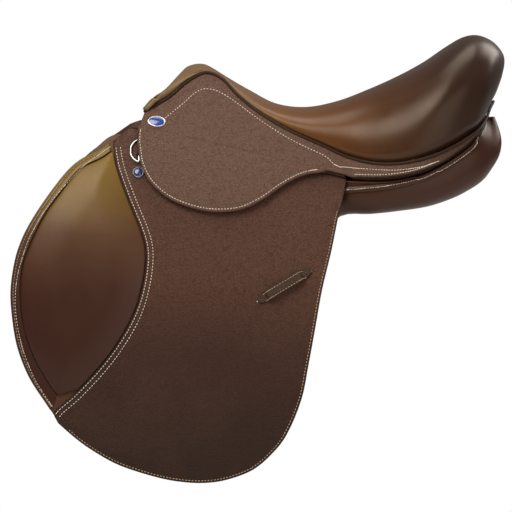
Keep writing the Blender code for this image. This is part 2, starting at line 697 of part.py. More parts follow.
def slab(face, back):
    """A closed solid between two grids of points."""
    bm = bmesh.new()
    top = [[bm.verts.new(p) for p in row] for row in face]
    low = [[bm.verts.new(p) for p in row] for row in back]
    rows, count = len(top), len(top[0])
    for i in range(rows - 1):
        for j in range(count - 1):
            bm.faces.new((top[i][j], top[i + 1][j], top[i + 1][j + 1], top[i][j + 1]))
            bm.faces.new((low[i][j + 1], low[i + 1][j + 1], low[i + 1][j], low[i][j]))
    rim = [(0, j) for j in range(count)] + [(i, count - 1) for i in range(1, rows)]
    rim += [(rows - 1, j) for j in range(count - 2, -1, -1)] + [(i, 0) for i in range(rows - 2, 0, -1)]
    for (a, b), (c, d) in zip(rim, rim[1:] + rim[:1]):
        bm.faces.new((top[a][b], top[c][d], low[c][d], low[a][b]))
    bmesh.ops.recalc_face_normals(bm, faces=bm.faces)
    return bm


def build_sweat_flaps(parts):
    outline = smooth_outline(SWEAT_OUTLINE, 2)
    outline = [(x, min(z, crease_z(x, -2.0))) for x, z in outline]

    def make(side, sign):
        flank_layer("sweat_flap", side, sign, outline, SWEAT_OUT, SWEAT_LEATHER, "panel_calf", parts)

    mirrored(make)


def panel_ring_front(x, low_z):
    half, height = crease_at(x)
    top = height + 18.0
    if x < -197.0:
        top = min(top, 120.0 + (x + 200.0) * 0.79 - 3.0)
    gullet = GULLET_HALF + 10.0 * max(0.0, min(1.0, (-60.0 - x) / 50.0))
    tuck = HEAD_IN - FIT
    upper = min(height - 1.0, top - 6.0)
    middle = lerp(upper, low_z, 0.5)
    ring = [flank(x, top, tuck), flank(x, upper, tuck), flank(x, upper - 5.0, PANEL_OUT),
            flank(x, middle, PANEL_OUT), flank(x, low_z + 11.0, PANEL_OUT),
            flank(x, low_z, PANEL_OUT - PANEL_THICK * 0.45),
            flank(x, low_z + 13.0, PANEL_OUT - PANEL_THICK),
            flank(x, middle, PANEL_OUT - PANEL_THICK * 1.1),
            flank(x, upper - 7.0, PANEL_OUT - PANEL_THICK * 1.35)]
    if x < -197.0:
        inner = ring[8].y + 2.0
        ring += [Vector((x, inner, upper - 1.0)), Vector((x, inner - 1.0, upper + 3.0)),
                 Vector((x, inner - 4.0, top + 0.5))]
    else:
        crown = flank(x, top + 2.0, tuck - 5.0)
        gullet = min(gullet, -crown.y - 4.0)
        ring += [Vector((x, -gullet - 3.0, upper - 2.0)), Vector((x, -gullet, upper + 9.0)), crown]
    return ring


def panel_ring_rear(bottom, top, wide_top, wide_low):
    low, high = Vector((bottom[0], 0.0, bottom[1])), Vector((top[0], 0.0, top[1]))
    ring = []
    gullet = min(GULLET_HALF, wide_low * 0.6)
    for share, level, at_gullet in REAR_SECTION:
        wide = lerp(wide_low / 0.84, wide_top, min(level * 1.6, 1.0))
        half = gullet if at_gullet else share * wide
        half = max(half, gullet)
        point = low.lerp(high, level)
        ring.append(Vector((point.x, -half, point.z)))
    return ring


def build_panels(parts):
    rings = [panel_ring_front(x, z) for x, z in PANEL_FRONT] + [panel_ring_rear(*row) for row in PANEL_REAR]

    def make(side, sign):
        add_object(f"panel_{side}", to_side(loft(rings), sign), "panel_calf", parts)
        corners = [panel_ring_rear(*row)[0] for row in PANEL_REAR[:-1]]
        corners[0] = corners[0].lerp(corners[1], 0.4)
        seam = [p + Vector((0.0, -0.75, 0.85)) * (PANEL_WELT_RADIUS + FIT) for p in corners]
        tube(f"panel_welt_{side}", [side_point(p, sign) for p in seam], PANEL_WELT_RADIUS, "panel_calf",
             parts, sides=1)

    mirrored(make)


def head_path():
    """The middle of the head's arch, from the near point over the crown to the off point."""
    x = HEAD_CENTRE_X
    stand = HEAD_OUT - HEAD_THICK / 2
    foot = crease_z(x, HEAD_FOOT_RISE)
    leg = [flank(x, lerp(foot, foot + 38.0, i / 3), stand) for i in range(4)]
    last = leg[-1]
    arc = []
    for i in range(1, 5):
        angle = math.pi / 2 * i / 5
        arc.append(Vector((x, last.y * math.cos(angle), lerp(last.z, HEAD_TOP_Z, math.sin(angle)))))
    half = leg + arc
    return half + [Vector((x, 0.0, HEAD_TOP_Z))] + [side_point(p, -1) for p in reversed(half)]


def offset_arch(path, distance):
    """The arch moved outwards across itself."""
    moved = []
    for i, point in enumerate(path):
        along = path[min(i + 1, len(path) - 1)] - path[max(i - 1, 0)]
        moved.append(point + Vector((0.0, -along.z, along.y)).normalized() * distance)
    return moved


def build_tree(parts):
    run = CREASE_REAR[0] - CREASE_FRONT[0]
    widen = (CREASE_REAR[1] - CREASE_FRONT[1]) / run
    fall = (CREASE_REAR[2] - CREASE_FRONT[2]) / run

    arch = head_path()

    def lengthwise(point):
        lean = 1.0 if abs(point.y) > abs(arch[3].y) - 0.1 else 0.0
        return 1.0, math.copysign(widen * lean, point.y), fall * lean

    add_object("tree_head", bar_loft(arch, HEAD_LENGTH, HEAD_THICK, lengthwise), "beech", parts)
    stand = (HEAD_THICK + PLATE_STEEL) / 2 + FIT
    plate = offset_arch(arch, stand)[5:-5]
    add_object("head_plate", bar_loft(plate, HEAD_LENGTH * 0.6, PLATE_STEEL, lengthwise), "steel", parts)
    lower = offset_arch(arch, -stand)[5:-5]
    add_object("gullet_plate", bar_loft(lower, HEAD_LENGTH * 0.5, PLATE_STEEL, lengthwise), "steel", parts)

    rail = [Vector((x, -half, z)) for x, half, z in RAIL_PATH]
    below = [p - Vector((0.0, 0.0, (RAIL_THICK + PLATE_STEEL) / 2 + 3.5 * FIT)) for p in rail[1:-1]]

    def make(side, sign):
        wood = bar_loft(rail, RAIL_WIDTH, RAIL_THICK, lambda point: RAIL_ACROSS)
        add_object(f"tree_rail_{side}", to_side(wood, sign), "beech", parts)
        spring = bar_loft(below, SPRING_WIDTH, PLATE_STEEL, lambda point: RAIL_ACROSS)
        add_object(f"spring_bar_{side}", to_side(spring, sign), "steel", parts)

    mirrored(make)
    path = CANTLE_PATH + tuple((x, -y, z) for x, y, z in reversed(CANTLE_PATH[:-1]))
    add_object("tree_cantle", bar_loft(path, CANTLE_WIDTH, RAIL_THICK, lambda point: (0.16, 0.0, 0.99)),
               "beech", parts)

    web = [(x, 0.0, z) for x, z in ((-112, 165.2), (-97, 163.6), (-80, 154), (-60, 140), (-30, 121),
                                    (0, 106.3), (40, 95.8), (80, 87), (120, 86), (150, 92), (180, 105),
                                    (205, 125), (226, 150), (243, 178))]
    add_object("strain_web", bar_loft(web, 56.0, WEB_THICK, lambda point: (0.0, 1.0, 0.0)), "webbing",
               parts)
    cross = [(40.0, y, z) for y, z in ((-84, 80.6), (-60, 86.8), (-30, 91.2), (0, 92.9), (30, 91.2),
                                       (60, 86.8), (84, 80.6))]
    add_object("cross_web", bar_loft(cross, 40.0, WEB_THICK, lambda point: (1.0, 0.0, -0.17)),
               "webbing", parts)
    add_object("gullet_lining", bar_loft(lining_path(), 2 * LINING_HALF, SEAT_LEATHER, lambda point: (0.0, 1.0, 0.0)),
               "panel_calf", parts)


def lining_path():
    """The gullet lining hangs from the head, runs back along the panels' inner edges and rises to the cantle."""
    path = [Vector((x, 0.0, z)) for x, z in LINING_FRONT]
    rings = [panel_ring_front(x, z) for x, z in PANEL_FRONT if x > -60.0]
    rings += [panel_ring_rear(*row) for row in PANEL_REAR[1:-5]]
    for ring in rings:
        inner, upper = ring[-2], ring[-1]
        edge = inner.lerp(upper, (LINING_HALF + inner.y) / (inner.y - upper.y))
        path.append(Vector((edge.x, 0.0, edge.z + SEAT_LEATHER / 2 + 3 * FIT)))
    return path + [Vector((x, 0.0, z)) for x, z in LINING_REAR]


# Stirrup bars in their own frame: along the fold line, out of the flank, and down
def bar_frame():
    """Middle of the bar on the flank, and its directions along, out and down."""
    z = crease_z(BAR_CENTRE_X, -BAR_DROP)
    front = flank(BAR_CENTRE_X - 10.0, crease_z(BAR_CENTRE_X - 10.0, -BAR_DROP), 0.0)
    along = (flank(BAR_CENTRE_X, z, 0.0) - front).normalized()
    normal = flank_normal(BAR_CENTRE_X, z)
    down = along.cross(normal)
    return flank(BAR_CENTRE_X, z, 0.0), along, normal, -down if down.z > 0 else down


def place_in_bar_frame(bm, sign):
    centre, along, normal, down = bar_frame()
    for vert in bm.verts:
        u, out, drop = vert.co
        vert.co = centre + along * u + normal * out + down * drop
    bmesh.ops.recalc_face_normals(bm, faces=bm.faces)
    return to_side(bm, sign)


def extruded(profile, low, high):
    """A profile of (along, out) made solid between two depths down the flank."""
    return loft([[Vector((u, out, depth)) for u, out in profile] for depth in (low, high)])


def build_stirrup_bars(parts, helpers):
    half = BAR_LENGTH / 2
    root = BAR_THICK + 1.0
    base = PLATE_OUT - BAR_PLATE_THICK / 2
    hook = [(-half, base), (-half + root, base), (-half + root, BAR_IN), (half - 6.0, BAR_IN),
            (half, BAR_IN + 1.0), (half, BAR_OUT), (-half + 3.0, BAR_OUT), (-half, BAR_OUT - 3.0)]
    leaf = [(half - 10.0, CATCH_IN), (half - 10.0 + CATCH_LENGTH, CATCH_IN),
            (half - 10.0 + CATCH_LENGTH, CATCH_OUT), (half - 10.0, CATCH_OUT)]
    left, right = BAR_CENTRE_X - half - 2.0, BAR_CENTRE_X + half - 10.0
    low = BAR_DROP + BAR_DEPTH / 2
    plate = [(left, crease_z(left, -low)), (right, crease_z(right, -low)),
             (right, crease_z(right, BAR_PLATE_RISE)), (left, crease_z(left, BAR_PLATE_RISE))]

    def make(side, sign):
        bar = place_in_bar_frame(extruded(hook, -BAR_DEPTH / 2, BAR_DEPTH / 2), sign)
        forging = add_object(f"stirrup_bar_{side}", bar, "steel", parts, smooth=False)
        join(forging, flank_layer("bar_plate", side, sign, plate, PLATE_OUT, BAR_PLATE_THICK, "steel",
                                  helpers))
        catch = place_in_bar_frame(extruded(leaf, -CATCH_WIDTH / 2, CATCH_WIDTH / 2), sign)
        add_object(f"safety_catch_{side}", catch, "steel", parts, side_point(catch_pivot(), sign),
                   smooth=False)

    mirrored(make)


def catch_reach():
    """How far the safety catch reaches from its pivot when it turns."""
    return math.hypot(CATCH_LENGTH - 6.0, CATCH_WIDTH / 2)


def catch_pivot():
    centre, along, normal, _ = bar_frame()
    return centre + along * (BAR_LENGTH / 2 - 4.0) + normal * ((CATCH_IN + CATCH_OUT) / 2)


# Girth webs and billets hang between the flap and the sweat flap
def rail_rest(x):
    """Height on the flank and stand-off at which a web meets the upper outer corner of the tree's rail."""
    pairs = list(zip(RAIL_PATH, RAIL_PATH[1:]))
    (xa, ya, za), (xb, yb, zb) = next(pair for pair in pairs if pair[1][0] >= x)
    t = (x - xa) / (xb - xa)
    across = Vector(RAIL_ACROSS).normalized()
    corner = Vector((x, -lerp(ya, yb, t), lerp(za, zb, t))) + across * (RAIL_WIDTH / 2)
    corner += Vector((0.0, across.z, -across.y)) * (RAIL_THICK / 2)
    half, height = crease_at(x)
    normal = flank_normal(x, height + 1.0)
    slope = FLARE / FLARE_FALL
    out = (-corner.y - half + slope * (corner.z - height)) / (slope * normal.z - normal.y)
    return corner.z - normal.z * out, out


def strap_outline(x, width, top, tip, point=STRAP_POINT):
    half = width / 2
    return [(x - half, tip + point), (x, tip), (x + half, tip + point), (x + half, top), (x - half, top)]


def strap_pivot(centre, out):
    """Where a strap is sewn to its web, in the middle of the lap."""
    return flank(centre, crease_z(centre) - WEB_HANG + WEB_LAP / 2, out - STRAP_LEATHER / 2)


def build_girth_straps(parts):
    """The front web carries one billet, the rear web two. The front strap lies outside the rear one.

    Each billet laps its web: the front web lies outside its billet, the rear web inside both of its own.
    """
    pair = (-STRAP_PITCH / 2, STRAP_PITCH / 2)
    web_outs = (FRONT_STRAP_OUT + LAP_ROOM + WEB_THICK, REAR_STRAP_OUT - STRAP_LEATHER - LAP_ROOM)
    rows = (("front_web", FRONT_STRAP_X, (0.0,), WEB_WIDTH, FRONT_STRAP_OUT, web_outs[0], 1,
             WEB_THICK + 3 * FIT),
            ("rear_web", REAR_STRAP_X, pair, WEB_WIDTH + STRAP_PITCH, REAR_STRAP_OUT, web_outs[1], 2, 0.0))

    def make(side, sign):
        for name, centre, offsets, width, out, web_out, number, over in rows:
            over += WEB_THICK + 3 * FIT
            pivot = strap_pivot(centre, out)
            low = crease_z(centre) - WEB_HANG
            xs = [centre + width * (k / 4 - 0.5) for k in range(5)]
            web = [(xs[0], low), (xs[-1], low)] + [(x, rail_rest(x)[0] + WEB_TOP) for x in reversed(xs)]

            def stand(x, z):
                rest_z, rest_out = rail_rest(x)
                share = (z - crease_z(x)) / (rest_z - crease_z(x))
                return lerp(web_out, rest_out + over, max(0.0, share))

            bm = to_side(outline_sheet(web, stand, STRAP_BENDS), sign)
            piece = add_object(f"{name}_{side}", bm, "webbing", parts)
            add_solidify(piece, WEB_THICK, -1.0)
            for i, offset in enumerate(offsets):
                x = centre + offset
                outline = strap_outline(x, BILLET_WIDTH, low + WEB_LAP, BILLET_TIP_Z)
                holes = [hexagon(x, BILLET_TIP_Z + FIRST_HOLE + HOLE_PITCH * k, BILLET_HOLE / 2)
                         for k in range(HOLE_COUNT)]
                flank_layer(f"billet_{number + i}", side, sign, outline, out, STRAP_LEATHER, "strap",
                            parts, STRAP_BENDS, pivot, holes)

    mirrored(make)


def hexagon(x, z, radius):
    return [(x + radius * math.cos(math.pi * i / 3), z + radius * math.sin(math.pi * i / 3))
            for i in range(6)]


# Fittings on the outside
def disc(point_x, point_z, stand, length, height, thick, tilt, steps):
    """A low domed oval lying on the flank."""
    rings = []
    for level, share in ((0.0, 1.0), (0.45, 1.0), (0.8, 0.82), (1.0, 0.5)):
        ring = []
        for i in range(steps):
            angle = 2 * math.pi * i / steps
            u, v = math.cos(angle) * length / 2 * share, math.sin(angle) * height / 2 * share
            x = point_x + u * math.cos(tilt) - v * math.sin(tilt)
            z = point_z + (u * math.sin(tilt) + v * math.cos(tilt)) * 0.87
            ring.append(flank(x, z, stand + thick * level))
        rings.append(ring)
    return loft(rings)


def build_fittings(parts):
    def make(side, sign):
        badge = disc(*BADGE_AT, SKIRT_OUT + FIT, BADGE_LENGTH, BADGE_HEIGHT, BADGE_THICK,
                     math.radians(-5), 16)
        add_object(f"oval_stud_{side}", to_side(badge, sign), "blue_enamel", parts)
        stud = disc(*STUD_AT, FIT, 2 * STUD_RADIUS, 2 * STUD_RADIUS, STUD_THICK, 0.0, 14)
        add_object(f"round_stud_{side}", to_side(stud, sign), "navy_enamel", parts)
        build_dee(side, sign, parts)
        build_keeper(side, sign, parts)

    mirrored(make)


def build_dee(side, sign, parts):
    """The dee hangs forward from a short bar that a leather chape holds on the flap."""
    x, z = DEE_PIVOT
    half = DEE_HEIGHT / 2
    stand = DEE_AXIS_OUT
    loop = [(0.0, half), (-DEE_REACH * 0.72, half * 0.72), (-DEE_REACH, half * 0.35),
            (-DEE_REACH, -half * 0.35), (-DEE_REACH * 0.72, -half * 0.72), (0.0, -half)]
    path = [flank(x + u, z + v, stand) for u, v in loop]
    tube(f"dee_{side}", [side_point(p, sign) for p in path], DEE_WIRE, "steel", parts, closed=True,
         sides=2, origin=side_point(flank(x, z, stand), sign))
    chape = [[flank(x + u, z + v, out) for u, out in chape_profile()] for v in (-half * 0.45, half * 0.45)]
    add_object(f"dee_chape_{side}", to_side(loft(chape), sign), "strap", parts)


def chape_profile():
    """A tongue sewn to the flap that bridges the dee's straight side: (along, out) pairs."""
    room = DEE_WIRE + CHAPE_ROOM
    end = room + CHAPE_LEATHER
    return [(-end, FIT), (-end, CHAPE_IN), (-room, CHAPE_OUT), (room, CHAPE_OUT), (end, CHAPE_IN),
            (end + CHAPE_TAIL, FIT + CHAPE_LEATHER), (end + CHAPE_TAIL, FIT), (room, FIT), (room, CHAPE_IN),
            (-room, CHAPE_IN), (-room, FIT)]


def build_keeper(side, sign, parts):
    """A leather loop sewn at both ends, proud of the flap in between."""
    (xa, za), (xb, zb) = KEEPER_ENDS
    start, end = Vector((xa, 0.0, za)), Vector((xb, 0.0, zb))
    along = (end - start).normalized()
    across = Vector((-along.z, 0.0, along.x))
    foot = 11.0
    length = (end - start).length
    profile = [(-foot, FIT), (0.0, FIT), (3.0, KEEPER_RISE - KEEPER_LEATHER),
               (length - 3.0, KEEPER_RISE - KEEPER_LEATHER), (length, FIT), (length + foot, FIT)]
    rings = []
    for u, out in profile:
        ring = []
        for v, lift in ((-0.5, 0.0), (0.5, 0.0), (0.5, KEEPER_LEATHER), (-0.5, KEEPER_LEATHER)):
            tip = 0.45 if u < 0 or u > length else 1.0
            point = start + along * u + across * (v * KEEPER_WIDTH * tip)
            ring.append(flank(point.x, point.z, out + lift))
        rings.append(ring)
    add_object(f"keeper_{side}", to_side(loft(rings), sign), "grain", parts)


def main():
    reset_scene()
    parts = new_collection("saddle")
    helpers = new_collection("cutters")
    helpers.hide_render = True
    build_tree(parts)
    build_seat(parts)
    build_welts(parts)
    build_front_facing(parts)
    build_skirts(parts)
    build_flaps(parts)
    build_flap_heads(parts)
    build_sweat_flaps(parts)
    build_panels(parts)
    build_stirrup_bars(parts, helpers)
    build_girth_straps(parts)
    build_fittings(parts)


main()
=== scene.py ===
"""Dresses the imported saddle: leather, piping, stitching, wool panels and metal over its frame.

Front (pommel) at -X, cantle at +X, near side at -Y, +Z up. Sizes are in millimetres until a
mesh is made. Near-side pieces are built first and mirrored to the off side.
"""

import math

import bmesh
import bpy
import numpy as np
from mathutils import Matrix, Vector
from mathutils.bvhtree import BVHTree
from mathutils.geometry import delaunay_2d_cdt


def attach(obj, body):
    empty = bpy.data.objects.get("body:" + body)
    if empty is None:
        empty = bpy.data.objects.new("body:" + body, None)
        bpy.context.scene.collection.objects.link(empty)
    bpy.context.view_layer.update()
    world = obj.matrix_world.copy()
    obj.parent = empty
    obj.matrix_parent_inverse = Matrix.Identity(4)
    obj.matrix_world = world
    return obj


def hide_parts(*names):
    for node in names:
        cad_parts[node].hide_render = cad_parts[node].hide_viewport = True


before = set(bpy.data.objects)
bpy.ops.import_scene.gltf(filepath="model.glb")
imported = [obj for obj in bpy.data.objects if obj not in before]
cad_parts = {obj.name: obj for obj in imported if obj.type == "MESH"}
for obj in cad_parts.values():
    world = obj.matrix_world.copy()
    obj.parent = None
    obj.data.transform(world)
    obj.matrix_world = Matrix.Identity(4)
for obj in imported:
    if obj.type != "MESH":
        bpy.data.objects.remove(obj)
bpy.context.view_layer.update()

bl_info = {
    "name": "Saddle dressing",
    "version": (1, 0, 0),
    "blender": (4, 5, 0),
    "location": "3D View > Sidebar > Saddle",
    "description": "Builds the leatherwork, stitching and metal of a jumping saddle on its frame",
    "category": "Add Mesh",
}

MM = 0.001

# The flank that flap, skirt and straps lie on: its fold line and its flare
CREASE_FRONT = (-189.0, 92.0, 107.0)
CREASE_REAR = (77.0, 115.5, 45.0)
FLARE = 97.0
FLARE_FALL = 170.0
RUN = CREASE_REAR[0] - CREASE_FRONT[0]
WIDEN = (CREASE_REAR[1] - CREASE_FRONT[1]) / RUN
FALL = (CREASE_REAR[2] - CREASE_FRONT[2]) / RUN

# Heights of the layers out from the flap's outer face
FIT = 0.3
FLAP_IN = -2.0
LINING_OUT = -2.3
LINING_IN = -4.5
FRONT_STRAP_OUT = -7.1
REAR_STRAP_OUT = -12.6
SWEAT_OUT = -18.7
SWEAT_IN = -22.0
PANEL_OUT = -22.3
HEAD_IN = -27.7
SKIRT_IN = 5.45
SKIRT_OUT = 9.25
DEE_AXIS_OUT = 1.8

# Seat stations from pommel to cantle: crest (x, z), welt (x, z, half width or None on the flank)
SEAT_STATIONS = (
    ((-139, 176), (-184.5, 126.5, None)), ((-134, 184.5), (-170, 134.5, None)),
    ((-122, 189), (-152, 146, None)), ((-110, 188.8), (-131, 164, None)), ((-98, 183), (-108, 175, None)),
    ((-78, 170.5), (-86, 167, None)), ((-50, 154.5), (-66, 146, None)), ((-18, 138.5), (-40, 125, None)),
    ((20, 134), (-5, 104, None)), ((60, 141.5), (35, 86, None)), ((100, 156.5), (75, 73.5, 110)),
    ((140, 174.5), (112, 67, 123.5)), ((172, 192), (145, 69.5, 130.5)), ((200, 211), (175, 77.5, 129.5)),
    ((222, 223.5), (200, 88.5, 121.5)), ((240, 225.5), (218, 98.5, 111)), ((259, 217), (232, 108, 99)),
    ((272.5, 200), (242, 119, 76)), ((272, 180), (250, 133, 48)), ((266, 158), (257, 142, 20)))
SEAT_END = (260.0, 146.0)
# How full the section is at each station: 2 is an ellipse
SEAT_ROUNDNESS = (
    2, 2, 2, 2, 2, 2, 2.1, 2.2, 2.3, 2.4, 2.5, 2.6, 2.7, 2.8, 2.8, 2.8, 2.7, 2.5, 2.3, 2.1)
SEAT_LEATHER = 2.5
SEAT_STEPS = 6
SEAT_ACROSS = 56
SEAT_LIP = (2.6, 0.0, -2.4)  # the front edge, turned in
ON_FLANK = sum(half is None for _, (_, _, half) in SEAT_STATIONS)
EDGE_STEPS = 8
UNCUT = 9.0  # what leather without a cut edge says for its distance from one

# The flap's stitching and its knee pad
STITCH_IN = 2.9
SEAM_STITCH_IN = 8.6
GROOVE = (3.2, 0.8)  # how far in it lies, and its width
BORDER_THICK = 1.6
PAD_THICK = 2.6
PAD_CROWN = 6.6
PAD_SLOPE = 42.0

# The piping, and the skirt that comes out from under it
SEAT_PIPING = 1.9
SEAT_PIPING_DROP = 2.2
PANEL_PIPING = 2.2
SKIRT_DROP = 2.7
SKIRT_ROLL = (2.1, 3.4)  # how far in it rolls, and over what width
TAIL_ROUNDING = 1.9
SKIRT_TOP_THICK = 3.0
SKIRT_STITCH_IN = 3.2
SKIRT_MIDDLE = (-60.0, 90.0)
FLAP_MIDDLE = (-110.0, -110.0)
BESIDE_SKIRT = -160.0  # y, outside all of the skirt's rear part
FACING_TAPER = 50.0

# Side-view outlines, x and z
FLAP_FRONT = (
    (-216, 98), (-238, 82.8), (-261, 71), (-277, 57.7), (-294.5, 35.8), (-311, 12.3), (-324, -9),
    (-333.5, -28.5), (-341, -51.7), (-346, -85), (-345, -116), (-338, -158), (-323, -196), (-302, -228),
    (-292, -243))
FLAP_BOTTOM = (
    (-287, -252), (-265, -270.7), (-243, -286), (-211.5, -302.8), (-168, -316.3), (-137, -322),
    (-108, -323.2), (-80, -319), (-48, -306.5), (-24, -286), (-6, -262))
FLAP_REAR = (
    (11.3, -220.4), (19.9, -179), (28.5, -133), (37, -87), (48.5, -41), (57.5, 0.4), (63.4, 20.4))
GRAIN_EDGE = (
    (-222, 92), (-220, 77), (-215, 56), (-201, 19.5), (-184.4, -20), (-179, -47.5), (-183.9, -87),
    (-197.7, -126.4), (-225.7, -170.4), (-262, -211), (-289, -235), (-292, -243))
KNEE_EDGE = (
    (-223, 80), (-236, 71), (-257, 61), (-270, 49), (-287, 27), (-302, 6), (-314, -16), (-323, -36),
    (-331, -60), (-334, -92), (-330, -132), (-317, -171), (-300, -201), (-288, -218))
SKIRT_EDGE = (
    (-190.5, 108), (-192, 92), (-190, 76.6), (-186.8, 61), (-174, 38.5), (-148, 18), (-108, 5.1),
    (-68, 5.2), (-38.6, 16.7), (-12, 34.2), (13.6, 46.7), (40, 51.2))
SWEAT_OUTLINE = (
    (-200, 117), (-226, 107.6), (-242, 94.3), (-262, 75), (-286, 30), (-301, -40), (-297, -110),
    (-272, -168), (-225, -208), (-160, -228), (-90, -226), (-30, -196), (8, -140), (22, -70), (30, 0),
    (32, 52))
TAIL_EDGE = (
    (78, 121, 48.5), (114, 131, 48.7), (150, 135, 54.2), (182, 130, 65.5), (206, 120, 80), (222, 110, 92),
    (235, 100, 103.3))
SKIRT_STITCH = (
    (-158, 116), (-138, 133.3), (-123, 147.7), (-112, 154.2), (-101, 154.2), (-89, 150), (-71, 138),
    (-41.5, 115.3), (-3.3, 91), (37, 71.8), (67.4, 61), (97, 58.4), (128, 57.4), (158, 61.2), (178, 67.5))
KNEE_STITCH = (
    (-224.4, 86.5), (-236.9, 77.8), (-247.7, 69.9), (-261.6, 58.8), (-280.4, 38.6), (-294.2, 21.8),
    (-307.2, 3.9), (-317.3, -13.8), (-325.6, -31), (-336.2, -65.4), (-340, -91.8), (-339.6, -117.1),
    (-334.5, -146.7), (-327.7, -170.4), (-314.1, -201.3), (-297.7, -226.4), (-290.4, -237))
PANEL_STITCH = (
    (58, 31.6), (75.5, 32.9), (118.1, 37), (158.6, 46.1), (189, 60.3), (219.1, 79.6), (231.2, 91.7),
    (239.3, 105.8), (247.2, 128))

# Panel stations under the flap (x, lowest z), then those of the rear roll (lowest and highest point,
# half widths at the top and below)
PANEL_FRONT = (
    (-258, -10), (-246, -62), (-225, -92), (-195, -106), (-155, -110), (-115, -104), (-75, -88),
    (-35, -62), (0, -40), (32, -18))
PANEL_REAR = (
    ((62, -1.6), (62, 46), 108, 93), ((99, 1.4), (99, 44), 116, 98), ((129.5, 4.5), (130, 46), 118, 98),
    ((170, 10.5), (165, 54), 116, 97), ((201, 20.6), (190, 66), 112, 94),
    ((222, 30.6), (208, 77), 106, 88), ((239, 41.7), (220, 86), 100, 84), ((251, 55.6), (230, 93), 93, 78),
    ((262, 74), (237, 101), 83, 72), ((265.5, 92), (242, 109), 70, 64), ((262.5, 109), (245, 116), 56, 54),
    ((258.5, 122), (248, 121.5), 45, 43))
# The rear roll's section: share of the half width, level, and whether it lies along the gullet
REAR_SECTION = (
    (1, 1, 0), (1.035, 0.86, 0), (1.045, 0.6, 0), (1.02, 0.34, 0), (0.955, 0.12, 0), (0.84, 0, 0),
    (0.66, 0.04, 0), (0.48, 0.16, 0), (0, 0.34, 1), (0, 0.62, 1), (0, 0.98, 1), (0.5, 1.18, 0))
PANEL_THICK = 19.0
PANEL_OVER_FOLD = 18.0
PANEL_RIDGE = (4.6, 2.6)  # half its width, and its height
BESIDE_PANEL = -205.0  # y, outside all of the panel
PANEL_HEAD_X = -197.0  # ahead of it the panel is a pad that stays clear of the gullet
GULLET_HALF = 34.0

# Small fittings on the flank
BADGE_AT = (-168.1, 112.0)
BADGE_SIZE = (23.0, 15.0, 1.7)
STUD_AT = (-190.0, 54.0)
STUD_RADIUS = 7.6
DEE_PIVOT = (-189.3, 80.0)
DEE_HEIGHT = 26.0
DEE_REACH = 10.0
DEE_WIRE = 1.5
KEEPER_ENDS = ((-31.5, -97.0), (13.5, -70.5))
KEEPER_WIDTH = 13.0
KEEPER_RISE = 8.0
KEEPER_LEATHER = 2.0
KEEPER_FOOT = 11.0
KEEPER_ROWS = (-0.34, 0.34)  # where its stitches run, in shares of the width
BILLET_WIDTH = 26.0
BILLET_TIP_Z = -236.0
BILLET_THICK = 3.5
BILLET_UNDER_FOLD = 36.0
BILLET_SHOULDER = 16.0  # above the tip
BILLET_SEWN = 31.0  # the length of a billet that lies under its web, without stitches
BILLET_STITCH_IN = 3.2
HOLES = 8
HOLE_RADIUS = 2.5
HOLE_PITCH = 25.0
HOLE_FIRST = 34.0  # above the tip
# Name, x, the x of its web, outer face, and the body that it rides
BILLETS = (("billet_1", -52.0, -52.0, FRONT_STRAP_OUT, "front_strap_left_body"),
           ("billet_2", -35.25, -20.0, REAR_STRAP_OUT, "rear_strap_left_body"),
           ("billet_3", -4.75, -20.0, REAR_STRAP_OUT, "rear_strap_left_body"))

# Copies of CAD nodes: node, material, slot, and the width of the eased edges
EASED = (
    ("dee_chape_left", "strap_leather", "strap_leather", 0.35),
    ("flap_head_left", "flap_grain", "grain_leather", 0.9),
    *((web, "webbing", "webbing", 0.4)
      for web in ("front_web_left", "rear_web_left", "cross_web", "strain_web")),
    ("gullet_lining", "panel_calf", "panel_leather", 0.8), ("front_facing", "seat", "seat_calf", 1.6))

# Nodes that stay, with finer finishes
FINER = (
    ("beech", ("tree_head", "tree_cantle", "tree_rail_left", "tree_rail_right")),
    ("steel", ("head_plate", "gullet_plate", "spring_bar_left", "spring_bar_right")),
    ("bright_steel", ("stirrup_bar_left", "stirrup_bar_right", "safety_catch_left", "safety_catch_right")))

# The studio, in metres: the lamps (name, size, watts, place), and the camera at the photo's place
LAMPS = (("key", 1.5, 46.0, (-0.9, -1.5, 1.7)), ("rim", 1.2, 20.0, (1.5, 0.9, 1.3)),
         ("fill", 2.2, 18.0, (1.2, -2.2, 0.3)), ("top", 1.4, 20.0, (0.2, 0.1, 2.0)))
LAMPS_AIM = Vector((-0.04, 0.0, -0.03))
FLOOR_Z = -0.3775
SKY = (0.2, 0.2, 0.2, 1.0)
CAMERA_AIM = Vector((-0.044, 0.0, -0.058))
CAMERA_AWAY = 3.2
CAMERA_LIFT = math.radians(4.0)
CAMERA_LENS = 174.4


# Shape helpers
def lerp(a, b, t):
    return a + (b - a) * t


def smooth(t):
    t = np.clip(t, 0.0, 1.0)
    return t * t * (3 - 2 * t)


def unit(rows):
    return rows / np.linalg.norm(rows, axis=-1, keepdims=True)


def turn(count):
    """Even angles round a circle."""
    return np.arange(count) * 2 * math.pi / count


def bump_at(value, centre, width):
    return np.exp(-(((value - centre) / width) ** 2))


def crease_z(x, above=0.0):
    return lerp(CREASE_FRONT[2], CREASE_REAR[2], (x - CREASE_FRONT[0]) / RUN) + above


